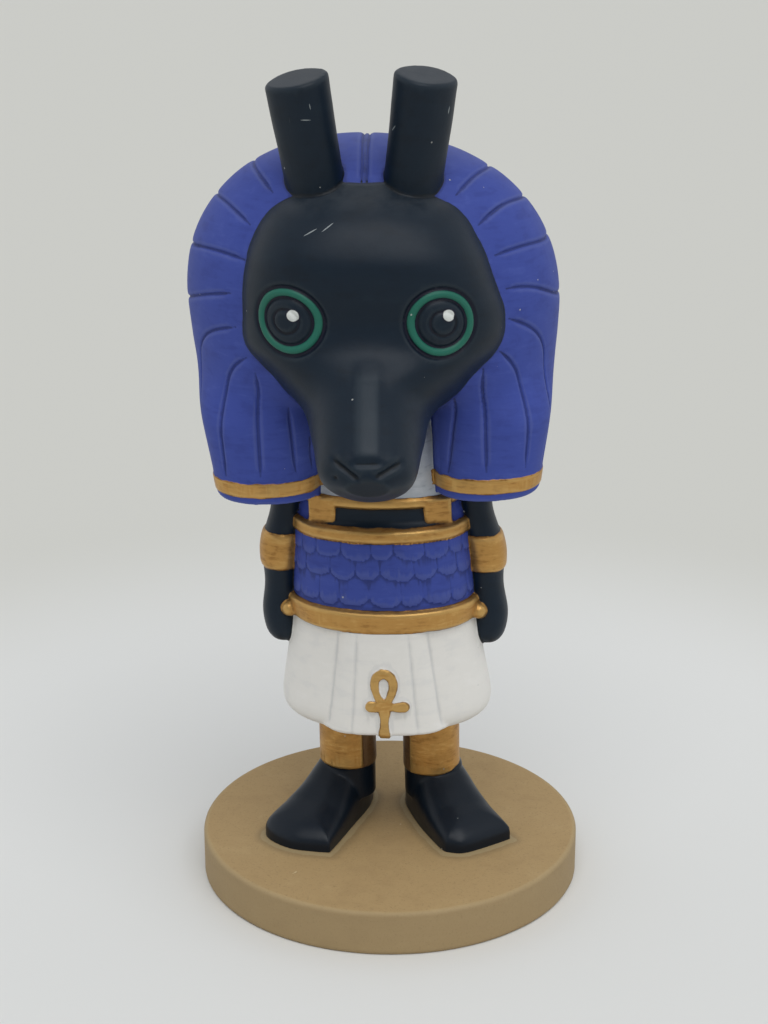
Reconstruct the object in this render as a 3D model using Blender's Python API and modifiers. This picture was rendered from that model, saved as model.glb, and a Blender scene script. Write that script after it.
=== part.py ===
"""A hand-painted cast-resin figurine of the Egyptian god Seth on a round base.

Metres, +Z up. The figure faces -Y, and the origin is the centre of the base's underside.
The figure is modelled in millimetres above its soles, then sized, leaned and set on the base.
"""
import math

import bmesh
import bpy
import numpy as np
from mathutils import Matrix, Vector
from mathutils.bvhtree import BVHTree

MM = 0.001

# The base, and how the figure sits on it
BASE_RADIUS = 23.0 * MM
BASE_THICKNESS = 5.4 * MM
BASE_EDGE = 0.45 * MM
SEAT_GAP = 0.3 * MM
BASE_SIDES = 64

# The figure: its height from soles to ear tips sets the scale of every proportion below,
# which are millimetres on a figure of MODEL_HEIGHT
FIGURE_HEIGHT = 93.0 * MM
MODEL_HEIGHT = 93.0
SCALE = FIGURE_HEIGHT / MODEL_HEIGHT
LEAN = 3.0
LEAN_POWER = 1.3

# Head: stations from the crown to the nose tip, each the front and back point of the
# section in the middle plane (y, height), its half width and its squareness
HEAD_STATIONS = (
    (-5.0, 81.9, 3.0, 82.3, 4.5, 2.2),
    (-12.0, 77.9, 8.0, 79.3, 11.1, 2.6),
    (-14.8, 71.5, 9.0, 71.8, 14.2, 3.0),
    (-14.8, 66.8, 9.0, 65.3, 15.0, 2.8),
    (-15.7, 64.1, 8.0, 59.3, 14.3, 2.4),
    (-17.5, 62.3, 1.0, 54.4, 10.3, 2.1),
    (-19.4, 60.9, -5.0, 52.0, 7.7, 2.0),
    (-22.6, 58.3, -13.0, 50.2, 6.2, 2.2),
    (-25.5, 55.4, -20.3, 48.8, 5.5, 2.4),
    (-26.1, 53.0, -24.4, 50.6, 2.8, 2.2),
)
HEAD_SIDES = 24
EYE_X = (-8.7, 7.9)
EYE_HEIGHT = 67.2
EYE_RINGS = (2.85, 3.9)
EYE_GROOVE = (0.2, 0.3)
EYE_SIDES = 14
NOSTRIL_X = (4.1, 1.6)
NOSTRIL_RISE = (1.6, -0.4)
NOSTRIL_GROOVE = (0.25, 0.35)

# Ears: square-topped posts that spread and lean forward
EAR_FOOT = Vector((5.1, -4.0, 76.0))
EAR_TIP = Vector((7.0, -6.8, 92.4))
EAR_HALF_WIDTH = (3.15, 3.55)
EAR_DEPTH_SHARE = 0.86
EAR_EDGE = 0.35
EAR_SIDES = 18

# Wig: a dome over the head that runs down into two lappets in front and one mass behind
WIG_CENTRE = Vector((0.0, 3.0, 66.0))
WIG_RISE = 18.3
WIG_HALF_WIDTH = 21.25
WIG_FRONT = 14.0
WIG_BACK = 13.0
WIG_SQUARENESS = 2.15
WIG_HEM = 44.2
WIG_HEM_TILT = 0.55
WIG_HEM_HALF_WIDTH = 18.95
WIG_HEM_BACK = 9.5
WIG_HEM_ROUND = 0.7
LAPPET_INNER = 6.6
LAPPET_SIDE_Y = -3.0
LAPPET_FRONT = 5.4
LAPPET_PARTING = (60.0, 52.5)
LAPPET_NOTCH_Y = 0.5
DOME_LEVELS = 7
LOWER_LEVELS = 7

# Strands: engraved lines, radial round the face and then hanging down to the hem
STRAND_CENTRE = Vector((0.0, 3.0, 64.4))
STRAND_GROOVE = (0.24, 0.28)
HOOD_STRANDS = [80.0 - 14.4 * k for k in range(5)] + [2.0]
HOOD_STRAND_TILT = (42.0, -18.0)
LAPPET_STRANDS = ((19.0, 65.0, 3.4), (16.4, 61.8, 1.8), (12.4, 60.0, 0.5), (8.8, 57.0, 0.4))
STRAND_STOP = 3.0
BACK_STRANDS = 7
BACK_STRAND_SPREAD = 128.0
BACK_STRAND_TOP = (10.0, 6.0)
GROOVE_CLEARANCE = 0.7
CAST_REACH = 60.0

# Body: stations of (height, half width, front, back) from the hips up into the head
TORSO_STATIONS = (
    (26.5, 10.3, 7.4, 7.0),
    (30.0, 10.7, 7.7, 7.3),
    (34.5, 10.5, 7.5, 7.2),
    (40.2, 10.1, 7.0, 6.8),
    (41.1, 9.8, 6.1, 6.5),
    (44.0, 9.0, 5.7, 6.2),
    (49.0, 7.0, 5.3, 6.0),
    (56.0, 5.6, 5.0, 6.0),
)
TORSO_LAYERS = (
    ("corselet", 26.5, 40.2, "blue"), ("chest", 40.0, 46.0, "black"), ("collar", 43.2, 56.0, "white"),
)
COLLAR_PROUD = 0.2
TORSO_SIDES = 26
BELT = (27.8, 30.5, 0.75)
CORSELET_BAND = (38.9, 40.6, 0.45)
COLLAR_BAND = (42.7, 44.0, 0.55)
STRAP_X = (4.7, 8.1)
STRAP_PROUD = 0.5
STRAP_DEPTH = 2.4
STRAP_TURN = math.radians(22.0)
KNOB_RADIUS = 0.95
KNOB_CENTRE = (11.2, -2.3, 28.8)

# Corselet: rows of overlapping round-ended scales
SCALE_ROW_FEET = (36.9, 34.2, 31.2)
SCALES_AROUND = 18
SCALE_RADIUS = 1.68
SCALE_LENGTH = 1.25
SCALE_THICKNESS = 0.7
SCALE_TILT = math.radians(11.0)
SCALE_SINK = 0.12
SCALE_SIDES = 7
SCALE_BARE_SIDE = 0.93

# Kilt: (height, half width) down the side, squashed front to back, with a pleated apron
KILT_PROFILE = (
    (29.0, 10.6), (27.6, 11.0), (24.0, 11.6), (20.0, 12.3), (17.6, 12.6),
    (16.3, 12.35), (15.55, 11.6), (15.3, 10.6),
)
KILT_DEPTH_SHARE = 0.71
KILT_SIDES = 30
APRON_STATIONS = ((27.9, 6.4, 8.15), (21.5, 7.5, 9.0), (15.5, 8.4, 9.4))
APRON_SQUARENESS = 3.4
PLEATS = ((3.0, 3.9), (5.2, 6.7))
PLEAT_GROOVE = (0.14, 0.16)

# Ankh: a loop, a crossbar and a stem, in low relief on the apron
ANKH_TOP = 23.45
ANKH_BAR_HEIGHT = 19.3
ANKH_FOOT = 15.9
ANKH_LOOP_HALF_WIDTH = 1.2
ANKH_BAR = (-1.9, 2.6)
ANKH_THICKNESS = 0.5
ANKH_BAR_THICKNESS = 0.78
ANKH_DEPTH_SHARE = 0.75

# Arms and armlets: (height, x, half width, half depth) from shoulder to hand
ARM_STATIONS = (
    (46.5, 10.6, 1.9, 2.6), (43.0, 10.9, 2.1, 2.9), (40.4, 11.1, 2.1, 2.9),
    (36.0, 12.1, 2.3, 3.0), (31.5, 12.15, 2.1, 2.7), (28.0, 12.5, 2.2, 2.9),
    (25.6, 12.3, 2.1, 2.8), (24.4, 12.2, 1.5, 2.1), (23.9, 12.1, 0.7, 1.0),
)
ARM_Y = 0.6
ARM_SIDES = 12
ARMLET = (33.6, 38.1, 0.28)

# Legs, anklets and feet
LEG_X = 5.0
LEG_Y = 2.8
LEG_RADIUS = 3.2
LEG_TOP = 17.0
ANKLET_HEIGHTS = ((-1, 6.9), (1, 6.2))
ANKLET_RADIUS = 3.5
LEG_SIDES = 14
FOOT_TURN = math.radians(25.0)
HEEL = (4.3, 7.3)
FOOT_STATIONS = (
    (0.0, 1.6, 3.4), (0.9, 2.9, 5.6), (3.0, 3.4, 7.0), (5.6, 3.4, 6.6), (8.6, 3.6, 5.0),
    (11.6, 4.0, 3.7), (14.4, 4.3, 2.9), (16.2, 4.1, 2.4), (17.2, 3.4, 1.9), (17.7, 2.2, 1.2),
)
FOOT_SIDES = 12
FOOT_SQUARENESS = 2.6

COLOURS = {
    "black": ((0.016, 0.021, 0.027), 0.42, 0.0),
    "blue": ((0.050, 0.058, 0.290), 0.55, 0.0),
    "gold": ((0.390, 0.215, 0.055), 0.38, 0.6),
    "white": ((0.620, 0.620, 0.620), 0.50, 0.0),
    "sand": ((0.340, 0.250, 0.130), 0.60, 0.0),
}


def clear_scene():
    for obj in list(bpy.data.objects):
        bpy.data.objects.remove(obj, do_unlink=True)


def material(name):
    found = bpy.data.materials.get(name)
    if found:
        return found
    colour, roughness, metallic = COLOURS[name]
    made = bpy.data.materials.new(name)
    made.use_nodes = True
    shader = made.node_tree.nodes["Principled BSDF"]
    shader.inputs["Base Color"].default_value = (*colour, 1.0)
    shader.inputs["Roughness"].default_value = roughness
    shader.inputs["Metallic"].default_value = metallic
    return made


def linked(name, mesh, paint):
    """An object of this mesh, in one paint, in the working collection."""
    obj = bpy.data.objects.new(name, mesh)
    workshop.objects.link(obj)
    mesh.materials.clear()
    mesh.materials.append(material(paint))
    return obj


def from_bmesh(name, shape, paint):
    """An object from a bmesh, with its faces turned outward."""
    bmesh.ops.recalc_face_normals(shape, faces=shape.faces)
    mesh = bpy.data.meshes.new(name)
    shape.to_mesh(mesh)
    shape.free()
    return linked(name, mesh, paint)


def settled(obj):
    """Turns an object and its modifiers into a plain welded mesh in place."""
    graph = bpy.context.evaluated_depsgraph_get()
    mesh = bpy.data.meshes.new_from_object(obj.evaluated_get(graph), depsgraph=graph)
    mesh.transform(obj.matrix_world)
    shape = bmesh.new()
    shape.from_mesh(mesh)
    bmesh.ops.remove_doubles(shape, verts=shape.verts, dist=1e-4)
    shape.to_mesh(mesh)
    shape.free()
    name = obj.name
    bpy.data.objects.remove(obj, do_unlink=True)
    made = bpy.data.objects.new(name, mesh)
    workshop.objects.link(made)
    return made


def facing_out(obj):
    """The object with all of its faces turned outward."""
    shape = bmesh.new()
    shape.from_mesh(obj.data)
    bmesh.ops.recalc_face_normals(shape, faces=shape.faces)
    shape.to_mesh(obj.data)
    shape.free()
    return obj


def combined(target, others, operation):
    """The target with the other objects joined to it, or cut out of it, one after another."""
    for other in others:
        step = target.modifiers.new(operation.lower(), "BOOLEAN")
        step.operation = operation
        step.solver = "EXACT"
        step.material_mode = "TRANSFER"
        step.object = other
        bpy.context.view_layer.update()
        target = settled(target)
        bpy.data.objects.remove(other, do_unlink=True)
    return target


def stations(rows, steps):
    """The rows with more between them, on smooth curves through the given ones."""
    keys = np.array(rows, float)
    ends = np.vstack([2 * keys[0] - keys[1], keys, 2 * keys[-1] - keys[-2]])
    found = []
    for k in range(len(keys) - 1):
        a, b, c, d = ends[k : k + 4]
        for t in np.arange(steps) / steps:
            bend = (2 * a - 5 * b + 4 * c - d) * t**2 + (3 * b - a - 3 * c + d) * t**3
            found.append(0.5 * (2 * b + (c - a) * t + bend))
    return np.array(found + [keys[-1]])


def oval(count, squareness):
    """Points round a unit oval from the front: (sideways, forward) each from -1 to 1."""
    turn = np.arange(count) * 2 * math.pi / count
    side, ahead = np.sin(turn), np.cos(turn)
    power = 2 / squareness
    return np.sign(side) * np.abs(side) ** power, np.sign(ahead) * np.abs(ahead) ** power


def loft(name, rings, paint):
    """A closed solid through rings of points, flat at both ends."""
    shape = bmesh.new()
    rows = [[shape.verts.new(point) for point in ring] for ring in rings]
    for low, high in zip(rows, rows[1:]):
        for k in range(len(low)):
            after = (k + 1) % len(low)
            shape.faces.new((low[k], low[after], high[after], high[k]))
    shape.faces.new(rows[0])
    shape.faces.new(rows[-1])
    return from_bmesh(name, shape, paint)


def groove(name, hits, section, paint, closed=False):
    """A cutter that follows points on a surface, (half width, depth) in it and clear above it."""
    half_width, depth = section
    count = len(hits)
    shape = bmesh.new()
    rows = []
    for k, (place, normal) in enumerate(hits):
        after = hits[(k + 1) % count if closed else min(k + 1, count - 1)][0]
        before = hits[k - 1 if closed else max(k - 1, 0)][0]
        across = (after - before).cross(normal).normalized() * half_width
        floor, roof = place - normal * depth, place + normal * GROOVE_CLEARANCE
        ring = (floor - across * 0.6, floor + across * 0.6, roof + across * 1.2, roof - across * 1.2)
        rows.append([shape.verts.new(point) for point in ring])
    for k in range(count if closed else count - 1):
        low, high = rows[k], rows[(k + 1) % count]
        for j in range(4):
            shape.faces.new((low[j], low[(j + 1) % 4], high[(j + 1) % 4], high[j]))
    if not closed:
        shape.faces.new(rows[0])
        shape.faces.new(rows[-1])
    return from_bmesh(name, shape, paint)


def upright(name, rows, sides, squareness, paint):
    """A loft of level ovals from rows of (height, half width, front, back)."""
    side, ahead = oval(sides, squareness)
    rings = []
    for height, half_width, front, back in rows:
        y = np.where(ahead > 0, -ahead * front, -ahead * back)
        rings.append(np.column_stack([side * half_width, y, np.full(sides, height)]))
    return loft(name, rings, paint)


def turned(name, profile, sides, paint, depth_share=1.0):
    """A profile of (radius, height), top to bottom, screwed round Z and squashed in Y."""
    mesh = bpy.data.meshes.new(name)
    points = [(radius, 0.0, height) for radius, height in profile]
    mesh.from_pydata(points, [(k, k + 1) for k in range(len(points) - 1)], [])
    obj = linked(name, mesh, paint)
    screw = obj.modifiers.new("screw", "SCREW")
    screw.steps = screw.render_steps = sides
    screw.use_merge_vertices = True
    screw.merge_threshold = 1e-4
    obj.scale.y = depth_share
    bpy.context.view_layer.update()
    return facing_out(settled(obj))


def tube(name, points, radius, paint, depth_share):
    """A square rod along points, made a mesh, and squashed in Y about its middle."""
    curve = bpy.data.curves.new(name, "CURVE")
    curve.dimensions = "3D"
    curve.bevel_depth = radius
    curve.bevel_resolution = 0
    curve.use_fill_caps = True
    spline = curve.splines.new("POLY")
    spline.points.add(len(points) - 1)
    middle = Vector(np.mean(np.array(points), axis=0))
    for place, point in zip(spline.points, points):
        place.co = (*(Vector(point) - middle), 1.0)
    curve.materials.append(material(paint))
    obj = bpy.data.objects.new(name, curve)
    workshop.objects.link(obj)
    obj.location = middle
    obj.scale.y = depth_share
    bpy.context.view_layer.update()
    return facing_out(settled(obj))


def caster(obj):
    """A function that finds where a ray meets the object's surface."""
    tree = BVHTree.FromObject(obj, bpy.context.evaluated_depsgraph_get())

    def cast(origin, direction):
        place, normal, _, _ = tree.ray_cast(Vector(origin), Vector(direction).normalized())
        return place, normal

    return cast


def from_front(cast, x, height):
    """Where a level ray from in front meets the surface."""
    return cast((x, -CAST_REACH, height), (0.0, 1.0, 0.0))


def head():
    side, ahead = oval(HEAD_SIDES, 2.0)
    rings = []
    for front_y, front_z, back_y, back_z, half_width, squareness in stations(HEAD_STATIONS, 2):
        power = 2 / squareness
        across = np.sign(side) * np.abs(side) ** power * half_width
        along = np.sign(ahead) * np.abs(ahead) ** power
        middle = np.array([back_y + front_y, back_z + front_z]) / 2
        reach = np.array([front_y, front_z]) - middle
        rings.append(np.column_stack([across, middle[0] + along * reach[0], middle[1] + along * reach[1]]))
    made = loft("head", rings, "black")
    cast = caster(made)
    cuts = []
    for sign in (-1, 1):
        place, normal = from_front(cast, EYE_X[sign > 0], EYE_HEIGHT)
        turn = normal.to_track_quat("Z", "Y").to_matrix()
        for radius in EYE_RINGS:
            path = []
            for k in range(EYE_SIDES):
                a = 2 * math.pi * k / EYE_SIDES
                start = place + turn @ Vector((radius * math.cos(a), radius * math.sin(a), 5.0))
                path.append(cast(start, -normal))
            cuts.append(groove("eye_ring", path, EYE_GROOVE, "black", closed=True))
        nose_height = HEAD_STATIONS[-1][1]
        path = []
        for share in (0.0, 0.33, 0.67, 1.0):
            x = NOSTRIL_X[0] + (NOSTRIL_X[1] - NOSTRIL_X[0]) * share
            rise = NOSTRIL_RISE[0] + (NOSTRIL_RISE[1] - NOSTRIL_RISE[0]) * share**1.4
            path.append(from_front(cast, sign * x, nose_height + rise))
        cuts.append(groove("nostril", path, NOSTRIL_GROOVE, "black"))
    return combined(made, cuts, "DIFFERENCE")


def ear(sign):
    foot, tip = EAR_FOOT.copy(), EAR_TIP.copy()
    foot.x, tip.x = sign * foot.x, sign * tip.x
    axis = tip - foot
    shape = bmesh.new()
    bmesh.ops.create_cone(
        shape, cap_ends=True, segments=EAR_SIDES, radius1=EAR_HALF_WIDTH[0],
        radius2=EAR_HALF_WIDTH[1], depth=axis.length,
    )
    top = max(vert.co.z for vert in shape.verts)
    rim = [edge for edge in shape.edges if all(vert.co.z > top - 0.01 for vert in edge.verts)]
    bmesh.ops.bevel(shape, geom=rim, offset=EAR_EDGE, segments=1, affect="EDGES", profile=0.5)
    bmesh.ops.scale(shape, vec=(1.0, EAR_DEPTH_SHARE, 1.0), verts=shape.verts)
    turn = axis.to_track_quat("Z", "Y").to_matrix().to_4x4()
    turn = turn @ Matrix.Rotation(math.pi, 4, "Z")
    bmesh.ops.transform(shape, matrix=Matrix.Translation((foot + tip) / 2) @ turn, verts=shape.verts)
    return from_bmesh("ear", shape, "black")


def dome_half(half_width, front, back, count):
    """Half a level section of the dome from the front centre to the back centre."""
    power = 2 / WIG_SQUARENESS
    share = np.linspace(0.0, 1.0, count)
    ahead_turn, behind_turn = (share / 0.6).clip(0, 1) ** 1.7, 1 + (share - 0.6) / 0.4
    turn = math.pi / 2 * np.where(share < 0.6, ahead_turn, behind_turn)
    x = half_width * np.clip(np.sin(turn), 0, 1) ** power
    ahead = np.cos(turn)
    y = np.where(ahead > 0, -front, back) * np.abs(ahead) ** power
    return np.column_stack([x, WIG_CENTRE.y + y])


def lappet_half(half_width, back, count):
    """Half a level section below the chin: the notch, one lappet, and half of the back."""
    inner = LAPPET_INNER
    middle, reach = (half_width + inner) / 2, (half_width - inner) / 2
    points = []
    for share in np.linspace(0.0, 1.0, count):
        if share < 0.12:
            points.append(((inner - 0.8) * share / 0.12, LAPPET_NOTCH_Y))
        elif share < 0.26:
            t = (share - 0.12) / 0.14
            points.append((inner - 0.8 + 0.8 * t, LAPPET_NOTCH_Y + (LAPPET_SIDE_Y - LAPPET_NOTCH_Y) * t))
        elif share < 0.6:
            turn = math.pi * (share - 0.26) / 0.34
            points.append((middle - reach * math.cos(turn), LAPPET_SIDE_Y - LAPPET_FRONT * math.sin(turn) ** 0.9))
        else:
            turn = math.pi / 2 * (share - 0.6) / 0.4
            depth = WIG_CENTRE.y + back - LAPPET_SIDE_Y
            points.append((half_width * math.cos(turn) ** 0.8, LAPPET_SIDE_Y + depth * math.sin(turn) ** 0.9))
    return np.array(points)


def wig_levels():
    """(height, half width, front, back, share parted into lappets, inset) from crown to hem."""
    levels = []
    power = 2 / 2.2
    for k in range(DOME_LEVELS):
        turn = math.pi / 2 * (1 - (k + 0.35) / DOME_LEVELS)
        size = math.cos(turn) ** power
        height = WIG_CENTRE.z + WIG_RISE * math.sin(turn) ** power
        levels.append((height, WIG_HALF_WIDTH * size, WIG_FRONT * size, WIG_BACK * size, 0.0))
    for k in range(LOWER_LEVELS + 1):
        share = k / LOWER_LEVELS
        height = WIG_CENTRE.z + (WIG_HEM + WIG_HEM_ROUND - WIG_CENTRE.z) * share
        half_width = WIG_HALF_WIDTH + (WIG_HEM_HALF_WIDTH - WIG_HALF_WIDTH) * share**1.3
        back = WIG_BACK + (WIG_HEM_BACK - WIG_BACK) * share
        parted = np.clip((LAPPET_PARTING[0] - height) / (LAPPET_PARTING[0] - LAPPET_PARTING[1]), 0, 1)
        levels.append((height, half_width, WIG_FRONT, back, parted**2 * (3 - 2 * parted)))
    for drop, inset in ((0.6, 0.25), (1.0, 0.75)):
        height = WIG_HEM + WIG_HEM_ROUND * (1 - drop)
        levels.append((height, WIG_HEM_HALF_WIDTH - inset, WIG_FRONT, WIG_HEM_BACK - inset, 1.0))
    return levels


def wig():
    half_count = 17
    rings = []
    for height, half_width, front, back, parted in wig_levels():
        dome = dome_half(half_width, front, back, half_count)
        hung = lappet_half(half_width, back, half_count)
        half = dome * (1 - parted) + hung * parted
        whole = np.vstack([half, (half * (-1, 1))[-2:0:-1]])
        droop = np.clip((WIG_CENTRE.z - height) / (WIG_CENTRE.z - WIG_HEM), 0, 1)
        level = height + WIG_HEM_TILT * droop * whole[:, 0] / WIG_HEM_HALF_WIDTH
        rings.append(np.column_stack([whole, level]))
    made = loft("wig", rings, "blue")
    cast = caster(made)
    cuts = [groove("strand", path, STRAND_GROOVE, "blue") for path in strand_paths(cast)]
    return combined(made, cuts, "DIFFERENCE")


def strand_paths(cast):
    """Where the engraved lines run over the wig's surface."""
    foot = WIG_HEM + STRAND_STOP
    for sign in (-1, 1):
        for clock in HOOD_STRANDS:
            path = []
            for tilt in np.linspace(*HOOD_STRAND_TILT, 5):
                a, b = math.radians(clock) * sign, math.radians(tilt)
                outward = (math.sin(a) * math.cos(b), -math.sin(b), math.cos(a) * math.cos(b))
                path.append(cast(STRAND_CENTRE, outward))
            yield path
        for x, top, run in LAPPET_STRANDS:
            bend = [(x - run * (1 - math.sin(t)), top - 1.8 * run * (1 - math.cos(t)) / 2) for t in (0.0, 0.7)]
            fall = [(x, height) for height in np.linspace(top - 1.8 * run, foot, 3)]
            yield [from_front(cast, sign * place, height) for place, height in bend + fall]
    for k in range(BACK_STRANDS):
        turn = math.radians(BACK_STRAND_SPREAD * (k / (BACK_STRANDS - 1) - 0.5))
        outward = (math.sin(turn), math.cos(turn), 0.0)
        top = WIG_CENTRE.z + BACK_STRAND_TOP[0] - BACK_STRAND_TOP[1] * abs(math.sin(turn))
        yield [cast((0.0, WIG_CENTRE.y, height), outward) for height in np.linspace(top, foot, 5)]


def torso_at(height):
    """(half width, front, back) of the torso at a height."""
    rows = np.array(TORSO_STATIONS)
    return [np.interp(height, rows[:, 0], rows[:, k]) for k in (1, 2, 3)]


def band(name, low, high, proud):
    """A raised band round the torso, softened at its edges."""
    rows = []
    for height, share in ((low, 0.2), (low + 0.25, 1.0), (high - 0.25, 1.0), (high, 0.2)):
        half_width, front, back = torso_at(height)
        rows.append((height, half_width + proud * share, front + proud * share, back + proud * share))
    return upright(name, rows, TORSO_SIDES, 2.2, "gold")


def scales():
    """Overlapping scales round the corselet, each a thin round-ended plate."""
    made = []
    for row, foot in enumerate(SCALE_ROW_FEET):
        half_width, front, back = torso_at(foot + SCALE_RADIUS)
        for k in range(SCALES_AROUND):
            turn = 2 * math.pi * (k + 0.5 * (row % 2)) / SCALES_AROUND
            if abs(math.sin(turn)) > SCALE_BARE_SIDE:  # under the arm
                continue
            depth = front if math.cos(turn) > 0 else back
            x, y = half_width * math.sin(turn), -depth * math.cos(turn)
            outward = Vector((x / half_width**2, y / depth**2, 0.0)).normalized()
            shape = bmesh.new()
            bmesh.ops.create_cone(
                shape, cap_ends=True, segments=SCALE_SIDES, radius1=SCALE_RADIUS,
                radius2=SCALE_RADIUS - 0.15, depth=SCALE_THICKNESS,
            )
            for vert in shape.verts:
                if vert.co.y > 0:
                    vert.co.y *= SCALE_LENGTH
            place = Matrix.Translation(Vector((x, y, foot + SCALE_RADIUS)) - outward * SCALE_SINK)
            facing = Matrix((Vector((-outward.y, outward.x, 0)), Vector((0, 0, 1)), outward)).transposed().to_4x4()
            tilt = Matrix.Rotation(-SCALE_TILT, 4, "X")
            bmesh.ops.transform(shape, matrix=place @ facing @ tilt, verts=shape.verts)
            made.append(from_bmesh("scale", shape, "blue"))
    return made


def torso_parts():
    parts = []
    for name, low, high, paint in TORSO_LAYERS:
        between = [row[0] for row in TORSO_STATIONS if low < row[0] < high]
        rows = [(height, *torso_at(height)) for height in (low, *between, high)]
        if paint == "white":
            rows = [(h, w + COLLAR_PROUD, f + COLLAR_PROUD, b + COLLAR_PROUD) for h, w, f, b in rows]
        parts.append(upright(name, rows, TORSO_SIDES, 2.2, paint))
    parts += scales()
    parts += [band("belt", *BELT), band("corselet_band", *CORSELET_BAND), band("collar_band", *COLLAR_BAND)]
    for sign in (-1, 1):
        half_width, front, _ = torso_at(COLLAR_BAND[0])
        middle = sum(STRAP_X) / 2
        y = -front * (1 - (middle / half_width) ** 2.2) ** (1 / 2.2)
        bpy.ops.mesh.primitive_cube_add(size=1.0)
        strap = bpy.context.object
        height = COLLAR_BAND[1] - CORSELET_BAND[0] - 0.5
        size = (STRAP_X[1] - STRAP_X[0], STRAP_DEPTH, height)
        strap.data.transform(Matrix.Diagonal((*size, 1.0)))
        turn = Matrix.Rotation(sign * STRAP_TURN, 4, "Z")
        place = Matrix.Translation((sign * middle, y - STRAP_PROUD + STRAP_DEPTH / 2, CORSELET_BAND[0] + 0.25 + height / 2))
        strap.data.transform(place @ turn)
        strap.data.materials.append(material("gold"))
        parts.append(strap)
        bpy.ops.mesh.primitive_uv_sphere_add(segments=10, ring_count=6, radius=KNOB_RADIUS)
        knob = bpy.context.object
        x, y, height = KNOB_CENTRE
        knob.data.transform(Matrix.Translation((sign * x, y, height)))
        knob.data.materials.append(material("gold"))
        parts.append(knob)
    return parts


def kilt():
    profile = [(0.0, KILT_PROFILE[0][0])]
    profile += [(half_width, height) for height, half_width in KILT_PROFILE]
    profile += [(0.0, KILT_PROFILE[-1][0])]
    made = turned("kilt", profile, KILT_SIDES, "white", KILT_DEPTH_SHARE)
    rows = [(height, half_width, front, 0.0) for height, half_width, front in APRON_STATIONS]
    apron = upright("apron", rows, KILT_SIDES, APRON_SQUARENESS, "white")
    return combined(made, [apron], "UNION")


def pleat_cuts(cast):
    cuts = []
    for sign in (-1, 1):
        for top_x, hem_x in PLEATS:
            path = []
            for share in np.linspace(0.0, 1.0, 3):
                height = BELT[0] - 0.3 + (APRON_STATIONS[-1][0] + 0.3 - BELT[0] + 0.3) * share
                path.append(from_front(cast, sign * (top_x + (hem_x - top_x) * share), height))
            cuts.append(groove("pleat", path, PLEAT_GROOVE, "white"))
    return cuts


def ankh(cast):
    def on_apron(x, height):
        return from_front(cast, x, height)[0]

    limbs = []
    for sign in (-1, 1):
        limb = []
        for turn in np.linspace(0.5, math.pi + 0.15, 7):
            x = 1.25 * ANKH_LOOP_HALF_WIDTH * math.sin(turn) * math.sin(turn / 2)
            rise = (ANKH_TOP - ANKH_BAR_HEIGHT) * (1 - math.cos(turn)) / 2
            limb.append(on_apron(sign * x, ANKH_BAR_HEIGHT + rise))
        limbs.append((limb, ANKH_THICKNESS))
    bar = [on_apron(x, ANKH_BAR_HEIGHT) for x in np.linspace(*ANKH_BAR, 5)]
    stem = [on_apron(0.0, height) for height in np.linspace(ANKH_BAR_HEIGHT, ANKH_FOOT, 4)]
    limbs += [(bar, ANKH_BAR_THICKNESS), (stem, ANKH_BAR_THICKNESS)]
    return [tube("ankh", path, radius, "gold", ANKH_DEPTH_SHARE) for path, radius in limbs]


def arm(sign):
    side, ahead = oval(ARM_SIDES, 2.2)
    rings = []
    for height, x, half_width, half_depth in ARM_STATIONS:
        across = sign * x + side * half_width
        rings.append(np.column_stack([across, ARM_Y - ahead * half_depth, np.full(ARM_SIDES, height)]))
    return loft("arm", rings, "black")


def armlet(sign):
    low, high, proud = ARMLET
    rows = np.array(ARM_STATIONS[::-1])
    rings = []
    side, ahead = oval(ARM_SIDES, 2.2)
    for height, share in ((low, 0.3), (low + 0.4, 1.0), (high - 0.4, 1.0), (high, 0.3)):
        x, half_width, half_depth = [np.interp(height, rows[:, 0], rows[:, k]) for k in (1, 2, 3)]
        grow = proud * share
        across = sign * x + side * (half_width + grow)
        along = ARM_Y - ahead * (half_depth + grow)
        rings.append(np.column_stack([across, along, np.full(ARM_SIDES, height)]))
    return loft("armlet", rings, "gold")


def cylinder(name, x, y, low, high, radius, paint):
    shape = bmesh.new()
    bmesh.ops.create_cone(
        shape, cap_ends=True, segments=LEG_SIDES, radius1=radius, radius2=radius, depth=high - low
    )
    bmesh.ops.translate(shape, vec=(x, y, (low + high) / 2), verts=shape.verts)
    return from_bmesh(name, shape, paint)


def leg_parts():
    parts = []
    for sign, foot in ANKLET_HEIGHTS:
        parts.append(cylinder("leg", sign * LEG_X, LEG_Y, 2.0, LEG_TOP, LEG_RADIUS, "black"))
        parts.append(cylinder("anklet", sign * LEG_X, LEG_Y, foot, LEG_TOP - 0.4, ANKLET_RADIUS, "gold"))
        parts.append(shoe(sign))
    return parts


def shoe(sign):
    """A bare foot: a loft along its length, flat below and rounded above."""
    turn = np.linspace(0.0, math.pi, FOOT_SIDES)
    power = 2 / FOOT_SQUARENESS
    across = np.sign(np.cos(turn)) * np.abs(np.cos(turn)) ** power
    rise = np.sin(turn).clip(0.0) ** power
    forward = np.array([sign * math.sin(FOOT_TURN), -math.cos(FOOT_TURN)])
    sideways = np.array([math.cos(FOOT_TURN), sign * math.sin(FOOT_TURN)])
    rings = []
    for along, half_width, height in stations(FOOT_STATIONS, 1):
        middle = np.array([sign * HEEL[0], HEEL[1]]) + forward * along
        flat = middle + np.outer(across * half_width, sideways)
        rings.append(np.column_stack([flat, rise * height]))
    return loft("foot", rings, "black")


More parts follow.
